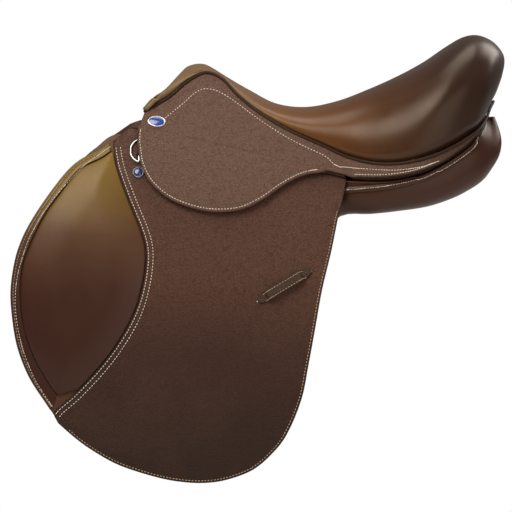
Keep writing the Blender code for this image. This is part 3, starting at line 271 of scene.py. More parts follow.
def flank_rows(rows, out):
    """Points and outward normals of the near side at rows of (x, z), so far outside the flap."""
    x, z = np.asarray(rows, float).reshape(-1, 2).T
    share = (x - CREASE_FRONT[0]) / RUN
    drop = lerp(CREASE_FRONT[2], CREASE_REAR[2], share) - z
    fade = np.exp(-np.maximum(drop, 0.0) / FLARE_FALL)
    spread = np.where(drop < 0, drop * FLARE / FLARE_FALL, FLARE * (1 - fade))
    slope = FLARE / FLARE_FALL * fade
    normal = unit(np.stack([-(WIDEN + slope * FALL), -np.ones_like(x), slope], 1))
    point = np.stack([x, -(lerp(CREASE_FRONT[1], CREASE_REAR[1], share) + spread), z], 1)
    return point + normal * np.broadcast_to(out, x.shape)[:, None], normal


def flank(x, z, out):
    return flank_rows([(x, z)], out)[0][0]


def spline(points, steps):
    """A smooth curve through the points, with so many steps between two of them."""
    points = np.asarray(points, float)
    ends = np.vstack([2 * points[0] - points[1], points, 2 * points[-1] - points[-2]])
    found = []
    for a, b, c, d in zip(ends, ends[1:], ends[2:], ends[3:]):
        for t in np.arange(steps) / steps:
            found.append((2 * b + (c - a) * t + (2 * a - 5 * b + 4 * c - d) * t**2
                          + (3 * b - a - 3 * c + d) * t**3) / 2)
    return np.array(found + [points[-1]])


def resample(path, pitch, closed=False):
    """The path again, with even steps of about this pitch."""
    path = np.asarray(path, float)
    if closed:
        path = np.vstack([path, path[:1]])
    at = np.concatenate([[0.0], np.cumsum(np.linalg.norm(np.diff(path, axis=0), axis=1))])
    marks = np.linspace(0.0, at[-1], max(int(round(at[-1] / pitch)), 2) + 1)
    marks = marks[:-1] if closed else marks
    return np.stack([np.interp(marks, at, path[:, k]) for k in range(path.shape[1])], 1)


def tangents(path, closed=False):
    path = np.asarray(path, float)
    if closed:
        found = np.roll(path, -1, 0) - np.roll(path, 1, 0)
    else:
        found = np.gradient(path, axis=0)
    return found / np.maximum(np.linalg.norm(found, axis=1), 1e-9)[:, None]


def edge_distance(points, loops, closed=True):
    """Distance from each (x, z) to the nearest of the loops."""
    best = np.full(len(points), 1e9)
    for loop in loops:
        loop = np.asarray(loop, float)
        ends = np.roll(loop, -1, 0) if closed else loop[1:]
        for a, b in zip(loop, ends):
            run = b - a
            share = np.clip((points - a) @ run / max(run @ run, 1e-9), 0.0, 1.0)
            best = np.minimum(best, np.linalg.norm(points - a - share[:, None] * run, axis=1))
    return best


def line_distance(rows, line):
    """Distance from each (x, z) to an open line."""
    return edge_distance(rows, [line], closed=False)


def inside(points, loop):
    """Whether each (x, z) lies in the loop."""
    x, z = points[:, :1], points[:, 1:]
    a, b = np.asarray(loop, float), np.roll(loop, -1, 0)
    crosses = (a[:, 1] > z) != (b[:, 1] > z)
    fall = np.where(b[:, 1] == a[:, 1], 1e-9, b[:, 1] - a[:, 1])
    return np.count_nonzero(crosses & (x < (b[:, 0] - a[:, 0]) * (z - a[:, 1]) / fall + a[:, 0]), 1) % 2 == 1


def inset(loop, distance, hole=False):
    """The loop moved in from the edge (out, for a hole), without the points that fold over."""
    run = tangents(loop, True)
    area = np.sum(loop[:, 0] * np.roll(loop[:, 1], -1) - np.roll(loop[:, 0], -1) * loop[:, 1])
    turn = (1.0 if area > 0 else -1.0) * (-1.0 if hole else 1.0)
    moved = loop + np.stack([-run[:, 1], run[:, 0]], 1) * distance * turn
    return moved[edge_distance(moved, [loop]) > distance * 0.93]


def flat_sheet(outline, holes, pitch, bands=(0.35, 0.9, 1.7, 2.5, 3.3, 4.8), step=3.0):
    """A flat sheet's points (x, z), triangles, and each point's distance in from the edge."""
    loops = [resample(loop, step, True) for loop in (outline, *holes)]
    rows, links, count = [], [], 0
    for loop in loops:
        rows.append(loop)
        links += [(count + i, count + (i + 1) % len(loop)) for i in range(len(loop))]
        count += len(loop)
    for band in bands:
        ring = np.vstack([inset(loop, band, k > 0) for k, loop in enumerate(loops)])
        rows.append(ring[edge_distance(ring, loops) > band * 0.93])
    low, high = loops[0].min(0), loops[0].max(0)
    grid = np.array([(x + (pitch / 2 if j % 2 else 0.0), z)
                     for j, z in enumerate(np.arange(low[1], high[1], pitch * 0.87))
                     for x in np.arange(low[0], high[0], pitch)])
    rows.append(grid[edge_distance(grid, loops) > bands[-1] + pitch * 0.4])
    points = np.vstack(rows)
    keep = inside(points, loops[0])
    for hole in loops[1:]:
        keep &= ~inside(points, hole)
    keep[:count] = True
    points = points[keep]
    made, _, faces, *_ = delaunay_2d_cdt([Vector(p) for p in points], links, [], 0, 1e-4)
    made, faces = np.array(made), np.array(faces)
    middle = made[faces].mean(axis=1)
    keep = inside(middle, loops[0])
    for hole in loops[1:]:
        keep &= ~inside(middle, hole)
    return made, faces[keep], edge_distance(made, loops)


def mark(mesh, edge, back):
    """Tells leather each point's way in from a cut edge, and whether it lies on the back."""
    for key, values in (("edge", edge), ("back", back)):
        layer = mesh.attributes.new(key, "FLOAT", "POINT")
        layer.data.foreach_set("value", np.broadcast_to(values, len(mesh.vertices)).astype(np.float32))


def skin_name(node):
    """A name for the piece that replaces a CAD node, which keeps its own."""
    return node[:-5] + "_skin_left" if node.endswith("_left") else node + "_skin"


def make_mesh(name, points, faces, edge=None, back=0.0):
    """A smooth mesh from millimetre points, marked as leather where edge is given."""
    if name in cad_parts:
        name = skin_name(name)
    mesh = bpy.data.meshes.new(name)
    mesh.from_pydata((np.asarray(points) * MM).tolist(), [], [list(map(int, f)) for f in faces])
    mesh.shade_smooth()
    if edge is not None:
        mark(mesh, edge, back)
    piece = bpy.data.objects.new(name, mesh)
    bpy.context.scene.collection.objects.link(piece)
    return piece


def leather(name, outline, inner, thick, holes=(), pitch=7.0, relief=None, rounding=1.2, lay=flank_rows,
            **sheet):
    """A sheet of leather on the flank with rounded edges. relief(rows, edge) raises its outer face."""
    rows, faces, edge = flat_sheet(outline, holes, pitch, **sheet)
    radius = min(rounding, thick * 0.48)
    fall = radius - np.sqrt(np.maximum(radius**2 - (radius - np.minimum(edge, radius)) ** 2, 0.0))
    top = inner + thick - fall + (relief(rows, edge) if relief else 0.0)
    over, under = lay(rows, top)[0], lay(rows, inner + fall)[0]
    count = len(rows)
    sides = np.vstack([faces[:, [0, 1]], faces[:, [1, 2]], faces[:, [2, 0]]])
    _, first, times = np.unique(np.sort(sides, 1), axis=0, return_index=True, return_counts=True)
    rim = sides[first[times == 1]]
    walls = [(b, a, a + count, b + count) for a, b in rim]
    skin = [*faces.tolist(), *(faces[:, ::-1] + count).tolist(), *walls]
    return make_mesh(name, np.vstack([over, under]), skin, edge=np.tile(edge, 2),
                     back=np.repeat([0.0, 1.0], count))


def loft(name, rings, closed_ring=True, closed_path=False, caps=False, **layers):
    """A skin over rings of equal length, given as an array of (rings, points, 3)."""
    rings = np.asarray(rings, float)
    rows, count = rings.shape[:2]
    faces = []
    for i in range(rows if closed_path else rows - 1):
        a, b = i * count, (i + 1) % rows * count
        for j in range(count if closed_ring else count - 1):
            k = (j + 1) % count
            faces.append((a + j, a + k, b + k, b + j))
    if caps:
        faces += [tuple(range(count))[::-1], tuple(range((rows - 1) * count, rows * count))]
    return make_mesh(name, rings.reshape(-1, 3), faces, **layers)


def face_out(piece, measure=lambda bm: bm.calc_volume(signed=True)):
    """Turns the faces so that the piece's normals point out, which makes the measure positive."""
    bm = bmesh.new()
    bm.from_mesh(piece.data)
    bmesh.ops.recalc_face_normals(bm, faces=bm.faces)
    if measure(bm) < 0:
        bmesh.ops.reverse_faces(bm, faces=bm.faces)
    bm.to_mesh(piece.data)
    bm.free()
    return piece


def tube(name, path, radius, sides=12, closed=False, up=(0.0, 0.0, 1.0)):
    """A round cord along a path. Open ends are domed."""
    path = np.asarray(path, float)
    run = tangents(path, closed)
    across = np.cross(run, up)
    across /= np.maximum(np.linalg.norm(across, axis=1), 1e-9)[:, None]
    rise = np.cross(across, run)
    angles = turn(sides)[:, None]
    size = np.full(len(path), radius)
    centres = path
    if not closed:
        ease = np.array([0.97, 0.75, 0.35])
        front = path[0] - run[0] * ease[:, None] * size[0]
        back = path[-1] + run[-1] * ease[::-1, None] * size[-1]
        centres = np.vstack([front, path, back])
        across, rise = (np.vstack([v[:1]] * 3 + [v] + [v[-1:]] * 3) for v in (across, rise))
        dome = np.sqrt(1 - ease**2)
        size = np.concatenate([size[0] * dome, size, size[-1] * dome[::-1]])
    size = size[:, None, None]
    rings = (centres[:, None] + across[:, None] * (np.cos(angles) * size)
             + rise[:, None] * (np.sin(angles) * size))
    return face_out(loft(name, rings, True, closed, not closed))


def stitches(name, path, normals, pitch=4.0, length=2.4, thread=0.4):
    """One mesh of stitches along a 3-D path. Each lies on the surface and dips in at both ends."""
    path = np.asarray(path, float)
    both = resample(np.hstack([path, np.asarray(normals) * 100.0]), pitch / 2)[1::2]
    at, out = both[:, :3], unit(both[:, 3:])
    run = tangents(at)
    across = unit(np.cross(run, out))
    angles = turn(5)[:, None]
    rings = []
    for along, lift, size in ((-0.5, -0.9, 0.75), (-0.3, 0.35, 1.0), (0.3, 0.35, 1.0), (0.5, -0.9, 0.75)):
        centre = at + run * along * length + out * lift * thread
        rings.append(centre[:, None] + across[:, None] * (np.cos(angles) * thread * size * 1.15)
                     + out[:, None] * (np.sin(angles) * thread * size))
    rings = np.stack(rings, 1)
    faces = []
    for stitch in range(len(at)):
        for ring in range(3):
            base = (stitch * 4 + ring) * 5
            faces += [(base + j, base + (j + 1) % 5, base + 5 + (j + 1) % 5, base + 5 + j) for j in range(5)]
    return make_mesh(name, rings.reshape(-1, 3), faces)


def tree_of(*pieces):
    """A tree of faces to lay things on, in millimetres."""
    points, faces = [], []
    for piece in pieces:
        start = len(points)
        points += [v.co / MM for v in piece.data.vertices]
        faces += [[start + i for i in p.vertices] for p in piece.data.polygons]
    return BVHTree.FromPolygons(points, faces)


def laid(tree, points, normals, reach=60.0):
    """Where the points, seen from outside along their normals, meet the surface, with its normals."""
    found, facing = [], []
    for point, normal in zip(points, normals):
        hit, hit_normal, _, _ = tree.ray_cast(Vector(point + normal * 15.0), -Vector(normal), reach)
        if hit is not None:
            hit_normal = hit_normal if hit_normal.dot(Vector(normal)) > 0 else -hit_normal
            found.append(hit[:])
            facing.append(hit_normal[:])
    return np.array(found), np.array(facing)


def mirrored(piece):
    """The off-side copy of a near-side piece."""
    copy = piece.copy()
    copy.data = piece.data.copy()
    copy.name = copy.data.name = piece.name.replace("_left", "_right")
    places = np.zeros(len(copy.data.vertices) * 3, np.float32)
    copy.data.vertices.foreach_get("co", places)
    places[1::3] *= -1
    copy.data.vertices.foreach_set("co", places)
    copy.data.flip_normals()
    bpy.context.scene.collection.objects.link(copy)
    return copy


def join(name, *pieces):
    """The pieces as one object."""
    bpy.ops.object.select_all(action="DESELECT")
    for piece in pieces:
        piece.select_set(True)
    bpy.context.view_layer.objects.active = pieces[0]
    bpy.ops.object.join()
    pieces[0].name = pieces[0].data.name = name
    return pieces[0]


# Materials
class Socket:
    """A shader value that can be written with Python's own operators."""

    def __init__(self, tree, socket):
        self.tree, self.socket = tree, socket

    def math(self, operation, *others, clamp=False):
        node = self.tree.nodes.new("ShaderNodeMath")
        node.operation, node.use_clamp = operation, clamp
        for place, value in zip(node.inputs, (self, *others)):
            put(self.tree, place, value)
        return Socket(self.tree, node.outputs[0])

    def __add__(self, other):
        return self.math("ADD", other)

    def __sub__(self, other):
        return self.math("SUBTRACT", other)

    def __rsub__(self, other):
        return self.math("MULTIPLY_ADD", -1.0, other)

    def __mul__(self, other):
        return self.math("MULTIPLY", other)

    __radd__ = __add__
    __rmul__ = __mul__

    def clamp(self):
        return self.math("MULTIPLY", 1.0, clamp=True)

    def band(self, low, high, start=0.0, end=1.0):
        """Eases from start to end as the value goes from low to high."""
        node = self.tree.nodes.new("ShaderNodeMapRange")
        node.interpolation_type = "SMOOTHSTEP"
        for place, value in zip(node.inputs, (self, low, high, start, end)):
            put(self.tree, place, value)
        return Socket(self.tree, node.outputs[0])


def put(tree, place, value):
    if isinstance(value, Socket):
        tree.links.new(value.socket, place)
    else:
        place.default_value = value


WARM = (255, 222, 182)  # the tint of light off waxed leather
PEBBLES = 400.0  # grain cells in a metre


class Shader:
    """A material's tree, with one method for any node."""

    def __init__(self, name):
        self.material = bpy.data.materials.new(name)
        self.material.use_nodes = True
        self.tree = self.material.node_tree
        self.surface = self.tree.nodes["Principled BSDF"]

    def node(self, kind, settings=None, output=0, **inputs):
        made = self.tree.nodes.new("ShaderNode" + kind)
        for key, value in (settings or {}).items():
            setattr(made, key, value)
        for key, value in inputs.items():
            key = key.replace("_", " ")
            put(self.tree, made.inputs[int(key[3:]) if key.startswith("at ") else key], value)
        return Socket(self.tree, made.outputs[output])

    def place(self):
        return self.node("TexCoord", output="Object")

    def attribute(self, name):
        return self.node("Attribute", {"attribute_name": name}, output="Fac")

    def noise(self, scale, detail=3.0, rough=0.55, place=None):
        return self.node("TexNoise", Vector=place or self.place(), Scale=scale, Detail=detail,
                         Roughness=rough)

    def cells(self, scale, place=None, feature="SMOOTH_F1", **inputs):
        return self.node("TexVoronoi", {"feature": feature}, output="Distance",
                         Vector=place or self.place(), Scale=scale, **inputs)

    def mix(self, share, a, b):
        made = self.tree.nodes.new("ShaderNodeMix")
        made.data_type = "RGBA"
        put(self.tree, made.inputs["Factor"], share)
        for place, value in ((made.inputs[6], a), (made.inputs[7], b)):
            put(self.tree, place, value if isinstance(value, Socket) else colour(value))
        return Socket(self.tree, made.outputs[2])

    def bump(self, height, strength, distance):
        return self.node("Bump", Height=height, Strength=strength, Distance=distance)

    def finish(self, **values):
        for key, value in values.items():
            key = key.replace("_", " ")
            if isinstance(value, tuple):
                value = colour(value)
            put(self.tree, self.surface.inputs[key], value)
        return self.material


def colour(rgb):
    """A colour written as screen values from 0 to 255, made linear."""
    linear = [(v / 255 / 12.92) if v <= 10 else ((v / 255 + 0.055) / 1.055) ** 2.4 for v in rgb[:3]]
    return (*linear, 1.0)


def wear(shader, base, light, dark):
    """Slow drifts of tone that waxed leather has."""
    slow = shader.noise(9.0, 4.0)
    fine = shader.noise(81.0, 3.0)
    tone = shader.mix(slow.band(0.4, 0.8) * 0.4, base, light)
    return shader.mix(fine.band(0.5, 0.8) * 0.2, tone, dark)


def grain_leather(name, base, light, dark, edge_tone=(38, 22, 18), rough=0.5):
    """Pebbled leather: cells with creases between them, a matt sheen and dyed edges."""
    s = Shader(name)
    warp = s.node("VectorMath", {"operation": "ADD"}, at_0=s.place(),
                  at_1=s.node("VectorMath", {"operation": "SCALE"},
                              at_0=s.node("TexNoise", output="Color", Vector=s.place(), Scale=150.0),
                              Scale=0.0022))
    warp = s.node("Mapping", Vector=warp, Scale=(0.7, 1.0, 1.0))
    cells = s.cells(PEBBLES, warp, Smoothness=0.35)
    small = s.cells(PEBBLES * 2.3, warp, Smoothness=0.3)
    crease = s.cells(PEBBLES * 1.15, warp, "DISTANCE_TO_EDGE")
    relief = cells * -0.8 + small * -0.3 + crease.band(0.0, 0.22) * 0.5
    edge = s.attribute("edge").band(0.4, 2.0, 1.0, 0.0)
    tone = wear(s, base(s) if callable(base) else base, light, dark)
    # Darker in the creases and toward the pebbles' rims: painted shade in the grain's hollows.
    tone = s.mix((crease.band(0.0, 0.2, 1.0, 0.0) * 0.6).clamp(), tone, dark)
    tone = s.mix((cells.band(0.45, 0.9) * 0.3).clamp(), tone, dark)
    tone = s.mix(edge * 0.9, tone, edge_tone)
    tone = s.mix(s.attribute("back") * 0.85, tone, (92, 66, 50))
    roughness = cells.band(0.0, 0.8, rough - 0.06, rough + 0.12) + edge * 0.08
    return s.finish(Base_Color=tone, Roughness=roughness, Normal=s.bump(relief, 1.0, 0.00054),
                    Specular_IOR_Level=0.34, Specular_Tint=WARM, Coat_Roughness=0.45,
                    Coat_Weight=0.05)


def calf_leather(name, tone_of, rough=0.3, coat=0.35, crease_height=0.5):
    """Smooth waxed calf: faint pores and creases under a soft coat. tone_of(shader) gives its colour."""
    s = Shader(name)
    pores = s.cells(1500.0, feature="F1")
    wrinkles = s.noise(75.0, 6.0, 0.6)
    fine = s.noise(620.0, 3.0)
    relief = pores * 0.25 + wrinkles * 0.9 + fine * 0.45
    edge = s.attribute("edge").band(0.25, 1.3, 1.0, 0.0)
    tone = s.mix((fine.band(0.5, 0.75) * 0.22).clamp(), tone_of(s), (26, 14, 8))
    tone = s.mix(edge * 0.85, tone, (40, 24, 16))
    tone = s.mix(s.attribute("back") * 0.85, tone, (96, 68, 50))
    roughness = s.noise(24.0, 4.0).band(0.3, 0.7, rough - 0.05, rough + 0.1)
    return s.finish(Base_Color=tone, Roughness=roughness, Normal=s.bump(relief, 0.4, 0.00012 * crease_height),
                    Coat_Weight=coat, Coat_Roughness=0.3, Coat_Tint=WARM, Specular_IOR_Level=0.3,
                    Specular_Tint=WARM)


def shade_ramp(low, high, *tones, axis=2):
    """Painted shade and light: a colour that changes along an axis, from low to high in metres, through the
    tones.
    """
    def tone_of(s):
        place = s.node("SeparateXYZ", output=axis, Vector=s.place())
        wander = s.noise(7.0, 2.0) * 0.05 - 0.025
        share = (place + wander).band(low, high) * (len(tones) - 1)
        found = tones[0]
        for i, tone in enumerate(tones[1:]):
            found = s.mix((share - float(i)).clamp(), found, tone)
        return s.mix(s.noise(60.0, 4.0).band(0.5, 0.8) * 0.12, found, (30, 18, 12))
    return tone_of


def metal(name, tone, rough):
    s = Shader(name)
    streak = s.noise(900.0, 2.0, 0.5, s.node("Mapping", Vector=s.place(), Scale=(1.0, 1.0, 0.06)))
    smear = s.noise(60.0, 4.0)
    return s.finish(Base_Color=s.mix(smear.band(0.4, 0.8) * 0.25, tone, tuple(v * 0.8 for v in tone)),
                    Metallic=1.0, Roughness=smear.band(0.3, 0.7, rough, rough + 0.12),
                    Normal=s.bump(streak, 0.0875, 0.00003))


def enamel(name, tone, deep):
    s = Shader(name)
    pool = s.noise(220.0, 3.0)
    return s.finish(Base_Color=s.mix(pool.band(0.35, 0.7), tone, deep), Roughness=0.18,
                    Coat_Weight=0.8, Coat_Roughness=0.06, Normal=s.bump(pool, 0.15, 0.0001))


def thread(name, tone):
    """Waxed linen thread, with its twist."""
    s = Shader(name)
    twist = s.node("TexWave", {"wave_type": "BANDS", "bands_direction": "DIAGONAL"}, Vector=s.place(),
                   Scale=900.0, Distortion=1.5)
    dirt = s.noise(40.0, 3.0)
    return s.finish(Base_Color=s.mix(dirt.band(0.4, 0.75) * 0.4, tone, tuple(v * 0.72 for v in tone)),
                    Roughness=0.62, Sheen_Weight=0.25, Normal=s.bump(twist, 0.5, 0.00012))


def webbing(name):
    """Woven cotton tape: warp and weft with frayed tone."""
    s = Shader(name)
    place = s.node("SeparateXYZ", output=0, Vector=s.place())
    tall = s.node("SeparateXYZ", output=2, Vector=s.place())
    across = (place * 2800.0).math("SINE")
    along = (tall * 2100.0).math("SINE")
    weave = across * along
    tone = s.mix(s.noise(30.0, 4.0).band(0.35, 0.7), (196, 184, 156), (164, 150, 122))
    # Darker where the weave dips between threads: painted shade.
    tone = s.mix(weave.band(-0.6, 0.9, 0.5, 0.0), tone, (112, 100, 78))
    return s.finish(Base_Color=tone, Roughness=0.9, Sheen_Weight=0.4,
                    Normal=s.bump(weave, 0.7, 0.0003))


def beech(name):
    """Varnished laminated beech with its glue lines."""
    s = Shader(name)
    long = s.node("Mapping", Vector=s.place(), Scale=(6.0, 60.0, 60.0))
    rays = s.noise(14.0, 5.0, 0.6, long)
    height = s.node("SeparateXYZ", output=2, Vector=s.place())
    plies = (height * 2600.0).math("SINE").band(0.86, 1.0)
    tone = s.mix(rays.band(0.35, 0.7), (196, 150, 98), (160, 112, 66))
    tone = s.mix(plies * 0.6, tone, (104, 66, 38))
    return s.finish(Base_Color=tone, Roughness=rays.band(0.3, 0.7, 0.34, 0.5), Coat_Weight=0.4,
                    Coat_Roughness=0.2, Normal=s.bump(rays, 0.3, 0.0002))


# Seat
def welt_points():
    """Where each of the seat's stations meets the piping."""
    return [flank(x, z, SKIRT_OUT) if half is None else (x, -half, z) for _, (x, z, half) in SEAT_STATIONS]


def seat_rings():
    """Sections of the seat from the near welt over the crest to the off welt."""
    stations = [(*crest, *welt, roundness)
                for (crest, _), welt, roundness in zip(SEAT_STATIONS, welt_points(), SEAT_ROUNDNESS)]
    angle = np.linspace(0.0, math.pi, SEAT_ACROSS + 1)
    cosine, sine = np.cos(angle), np.maximum(np.sin(angle), 0.0)
    edge = np.minimum(angle, math.pi - angle)
    full = 1.0 + 0.012 * bump_at(edge, 0.30, 0.22) - 0.008 * bump_at(edge, 0.0, 0.08)
    rings = []
    for i, (cx, cz, wx, wy, wz, roundness) in enumerate(spline(stations, SEAT_STEPS)):
        lift = sine ** (2 / roundness)
        fold = 0.9 * bump_at(i, 2.0, 0.8) + 0.6 * bump_at(i, 5.0, 0.8)
        cz -= fold
        wy += fold
        y = -np.sign(cosine) * np.abs(cosine) ** (2 / roundness) * -wy * full
        rings.append(np.stack([lerp(wx, cx, lift), y, wz + (cz - wz) * lift], 1))
    return np.array(rings)


def build_seat(fit):
    rings = seat_rings()
    last = rings[-1]
    middle = last.mean(0) * (1, 0, 1)
    tip = np.array([SEAT_END[0], 0.0, SEAT_END[1]])
    closing = [lerp(last, tip + (last - middle) * 0.12, smooth(t)) for t in (0.25, 0.5, 0.75, 0.95)]
    rings = np.concatenate([[rings[0] + SEAT_LIP], rings, closing])
    seat = loft("seat_leather", rings, closed_ring=False, edge=UNCUT)
    solid = seat.modifiers.new("thickness", "SOLIDIFY")
    solid.thickness, solid.offset = SEAT_LEATHER * MM, -1.0
    face_out(seat, lambda bm: sum(f.normal.z * f.calc_area() for f in bm.faces))
    bpy.context.view_layer.objects.active = seat
    bpy.ops.object.modifier_apply(modifier="thickness")
    fit(seat, "seat", "root", "seat_calf", "seat_cover", "seat_foam", fill=0.7)


def seat_edge():
    """The seat's lower edge line, with the direction down across the side and the one that faces out."""
    rows = spline(welt_points(), EDGE_STEPS)
    run = tangents(rows)
    share = smooth((np.arange(len(rows)) / EDGE_STEPS - (ON_FLANK - 2)) / 3)[:, None]
    out = lerp(flank_rows(rows[:, [0, 2]], 0.0)[1], np.array([0.0, -1.0, 0.25]), share)
    out = unit(out - run * np.sum(out * run, 1)[:, None])
    down = np.cross(run, out)
    down *= np.where(down[:, 2:] > 0, -1.0, 1.0)
    return rows, down, out


# Skirt
def skirt_frame():
    """The skirt's top from the piping to the fold line, or to the tail's edge behind it."""
    last = ON_FLANK + len(TAIL_EDGE)
    rows, down, out = (v[:(last - 1) * EDGE_STEPS + 1] for v in seat_edge())
    edges = []
    for share in np.arange(ON_FLANK) / (ON_FLANK - 1):
        x = lerp(CREASE_FRONT[0] - 0.5, TAIL_EDGE[0][0] - 14.0, share)
        edges.append(flank(x, crease_z(x, 0.05), SKIRT_OUT))
    edges += [(x, -half, z) for x, half, z in TAIL_EDGE]
    return rows + down * SKIRT_DROP, spline(edges, EDGE_STEPS), out


def rolled_in(t):
    """How far in a round edge lies at the share t of its width."""
    return 1 - math.sqrt(max(0.0, 1 - (1 - min(t, 1.0)) ** 2))


def build_skirt(fit):
    """One grained leather from the welt down over the fold: a fixed top with a tail, and a lifting lobe."""
    top, low, out = skirt_frame()
    levels = (0.0, 0.012, 0.03, 0.06, 0.1, 0.16, 0.24, 0.34, 0.46, 0.6, 0.74, 0.86, 0.93, 0.965, 0.985, 1.0)
    over, edge = [], []
    for i, (a, b) in enumerate(zip(top, low)):
        tail = smooth((i - (ON_FLANK - 1) * EDGE_STEPS) / 10)
        length = np.linalg.norm(b - a)
        ring, far = [], []
        for t in levels:
            along = t * length
            left = length - along
            roll = SKIRT_ROLL[0] * rolled_in(along / SKIRT_ROLL[1])
            under = TAIL_ROUNDING * tail * rolled_in(left / TAIL_ROUNDING)
            crown = 0.5 * math.sin(math.pi * t) * min(length / 30, left / 15, 1.0)
            crown += 0.4 * math.exp(-(((along - 6.0) / 4.0) ** 2)) * min(left / 15, 1.0)
            ring.append(lerp(a, b, t) - out[i] * (roll + under - crown))
            far.append(lerp(UNCUT, left, tail))
        over.append(ring)
        edge.append(far)
    over, edge = np.array(over), np.array(edge)
    under = over - out[:, None] * SKIRT_TOP_THICK
    upper = face_out(loft("skirt_top_left", np.concatenate([over, under[:, ::-1]], 1), caps=True,
                          edge=np.concatenate([edge, edge], 1).ravel(),
                          back=np.tile(np.repeat([0.0, 1.0], len(levels)), len(over))))

    curve = spline(SKIRT_EDGE, 6)
    curve = curve[curve[:, 1] < crease_z(curve[:, 0], -0.6)]
    start, end = CREASE_FRONT[0] - 1.5, curve[-1][0] + 4.0
    outline = np.vstack([[(start, crease_z(start, -0.05))], curve, [(end, crease_z(end, -0.05))]])

    def relief(rows, edge):
        low_edge = line_distance(rows, curve)
        groove = 0.35 * bump_at(low_edge, 3.4, 0.8)
        away = smooth((crease_z(rows[:, 0]) - rows[:, 1]) / 20.0)
        return 0.5 * smooth(low_edge / 40) * away - groove * (edge > 1.5)

    def lay(rows, out):
        """The rounding runs out at the fold, where the lobe meets the skirt's top."""
        fold = smooth((crease_z(rows[:, 0]) - rows[:, 1]) / 4.0)
        whole = np.where(out > (SKIRT_IN + SKIRT_OUT) / 2, SKIRT_OUT, SKIRT_IN)
        return flank_rows(rows, lerp(whole, out, fold))

    lobe = leather("skirt_lobe_left", outline, SKIRT_IN, SKIRT_OUT - SKIRT_IN, relief=relief, rounding=1.7,
                   lay=lay)
    places = np.array([(v.co.x / MM, v.co.z / MM) for v in lobe.data.vertices])
    cut = line_distance(places, curve)
    lobe.data.attributes["edge"].data.foreach_set("value", cut.astype(np.float32))
    fit(upper, "grain", "root", "grain_leather", "skirt_top_left")
    fit(lobe, "grain", "skirt_left_body", "grain_leather", "skirt_lobe_left")
    return upper, lobe, curve


# Flap
def flap_lines():
    """The grained part's front seam, its lower edge, its upper edge, and the window over the webs."""
    grain = spline(GRAIN_EDGE, 4)
    lower = spline(FLAP_BOTTOM + FLAP_REAR, 4)
    upper = np.array([(x, crease_z(x, -FIT)) for x in (69.0, -202.0)])
    window = np.array([(x, crease_z(x, -d)) for x, d in ((-171, 9.9), (-54, 9.9), (-54, 42.5), (-171, 42.5))])
    return grain, lower, upper, window


def stitch_row(fit, name, rows, surface, body, slot, out=12.0, material="thread_tan", **size):
    """Stitches along the rows of (x, z), laid from the flank on to the surface."""
    at, normals = laid(surface, *flank_rows(resample(rows, 1.5), out))
    fit(stitches(name, at, normals, **size), material, body, slot)


def build_flap(fit):
    grain, lower, upper, window = flap_lines()
    body = "flap_left_body"

    def relief(rows, edge):
        grooves = sum(bump_at(line_distance(rows, line), *GROOVE) for line in (lower, grain))
        return 0.35 * np.sin(rows[:, 0] * 0.045 + rows[:, 1] * 0.02) * smooth(edge / 30) - 0.3 * grooves

    flap = leather("flap_left", np.vstack([grain, lower, upper]), FLAP_IN, -FLAP_IN, (window,), relief=relief,
                   rounding=0.95)
    fit(flap, "flap_grain", body, "grain_leather", "flap_left")
    surface = tree_of(flap)

    def on_flap(name, rows, **size):
        stitch_row(fit, name, rows, surface, body, "grain_leather", **size)

    on_flap("flap_edge_stitches_left", inset_line(lower[2:-3], STITCH_IN))
    for name, distance in (("flap_knee_stitches_left", STITCH_IN),
                           ("flap_seam_stitches_left", SEAM_STITCH_IN)):
        on_flap(name, inset_line(grain[2:-3], distance), material="thread_pale")
    for name, corners in (("keeper_front_stitches_left", ((-42.5, -102.4), (-37.6, -96.8), (-33.4, -103.7))),
                          ("keeper_rear_stitches_left", ((15.9, -65.2), (24.4, -65.4), (20.4, -71.3)))):
        on_flap(name, np.array([*corners, corners[0]]), material="thread_pale", pitch=2.6, length=1.8)

    front = spline(FLAP_FRONT, 4)
    lining = leather("flap_lining_left", np.vstack([front, lower, upper]), LINING_IN, LINING_OUT - LINING_IN,
                     (window,), 8.0, rounding=1.0)
    fit(lining, "lining_calf", body, "seat_calf", "flap_lining_left")

    outline = spline(SWEAT_OUTLINE, 4)
    outline[:, 1] = np.minimum(outline[:, 1], crease_z(outline[:, 0], -2.0))
    under = leather("sweat_flap_left", outline, SWEAT_IN, SWEAT_OUT - SWEAT_IN, pitch=9.0, rounding=1.4)
    fit(under, "under_calf", "root", "panel_leather", "sweat_flap_left")

    knee = spline(KNEE_EDGE, 4)
    border = np.vstack([front[2:-2], knee[::-1] + (-0.8, 0.8)])

    def rolled(rows, edge):
        rim = line_distance(rows, front)
        return 1.3 * bump_at(rim, 1.6, 1.7) - 0.3 * bump_at(rim, 5.2, 1.2) + 0.3 * bump_at(rim, 8.6, 1.6)

    strip = leather("knee_border_left", border, FLAP_IN, BORDER_THICK, pitch=5.0, relief=rolled, rounding=0.7,
                    bands=(0.5, 1.2, 2.2, 3.4, 4.6))
    fit(strip, "knee_calf", body, "knee_calf", "knee_border_left")
    surface = tree_of(strip)
    stitch_row(fit, "knee_outer_stitches_left", inset_line(front[3:-3], 3.4), surface, body, "knee_calf",
               thread=0.3)
    stitch_row(fit, "knee_inner_stitches_left", spline(KNEE_STITCH, 4), surface, body, "knee_calf",
               material="thread_pale", thread=0.34)

    seam = grain - (FIT + 0.5, 0.0)
    seam = seam[(seam[:, 1] > knee[-1][1]) & (seam[:, 1] < knee[0][1])]

    def pillow(rows, edge):
        crown = PAD_CROWN * np.sin(np.minimum(edge / PAD_SLOPE, 1.0) * math.pi / 2)
        return crown + 1.2 * (1 - np.exp(-edge / 2.5))

    pad = leather("knee_pad_left", np.vstack([knee, seam[::-1]]), FLAP_IN, PAD_THICK, pitch=5.0,
                  relief=pillow)
    fit(pad, "knee_calf", body, "knee_calf", "knee_pad_left", fill=0.6)


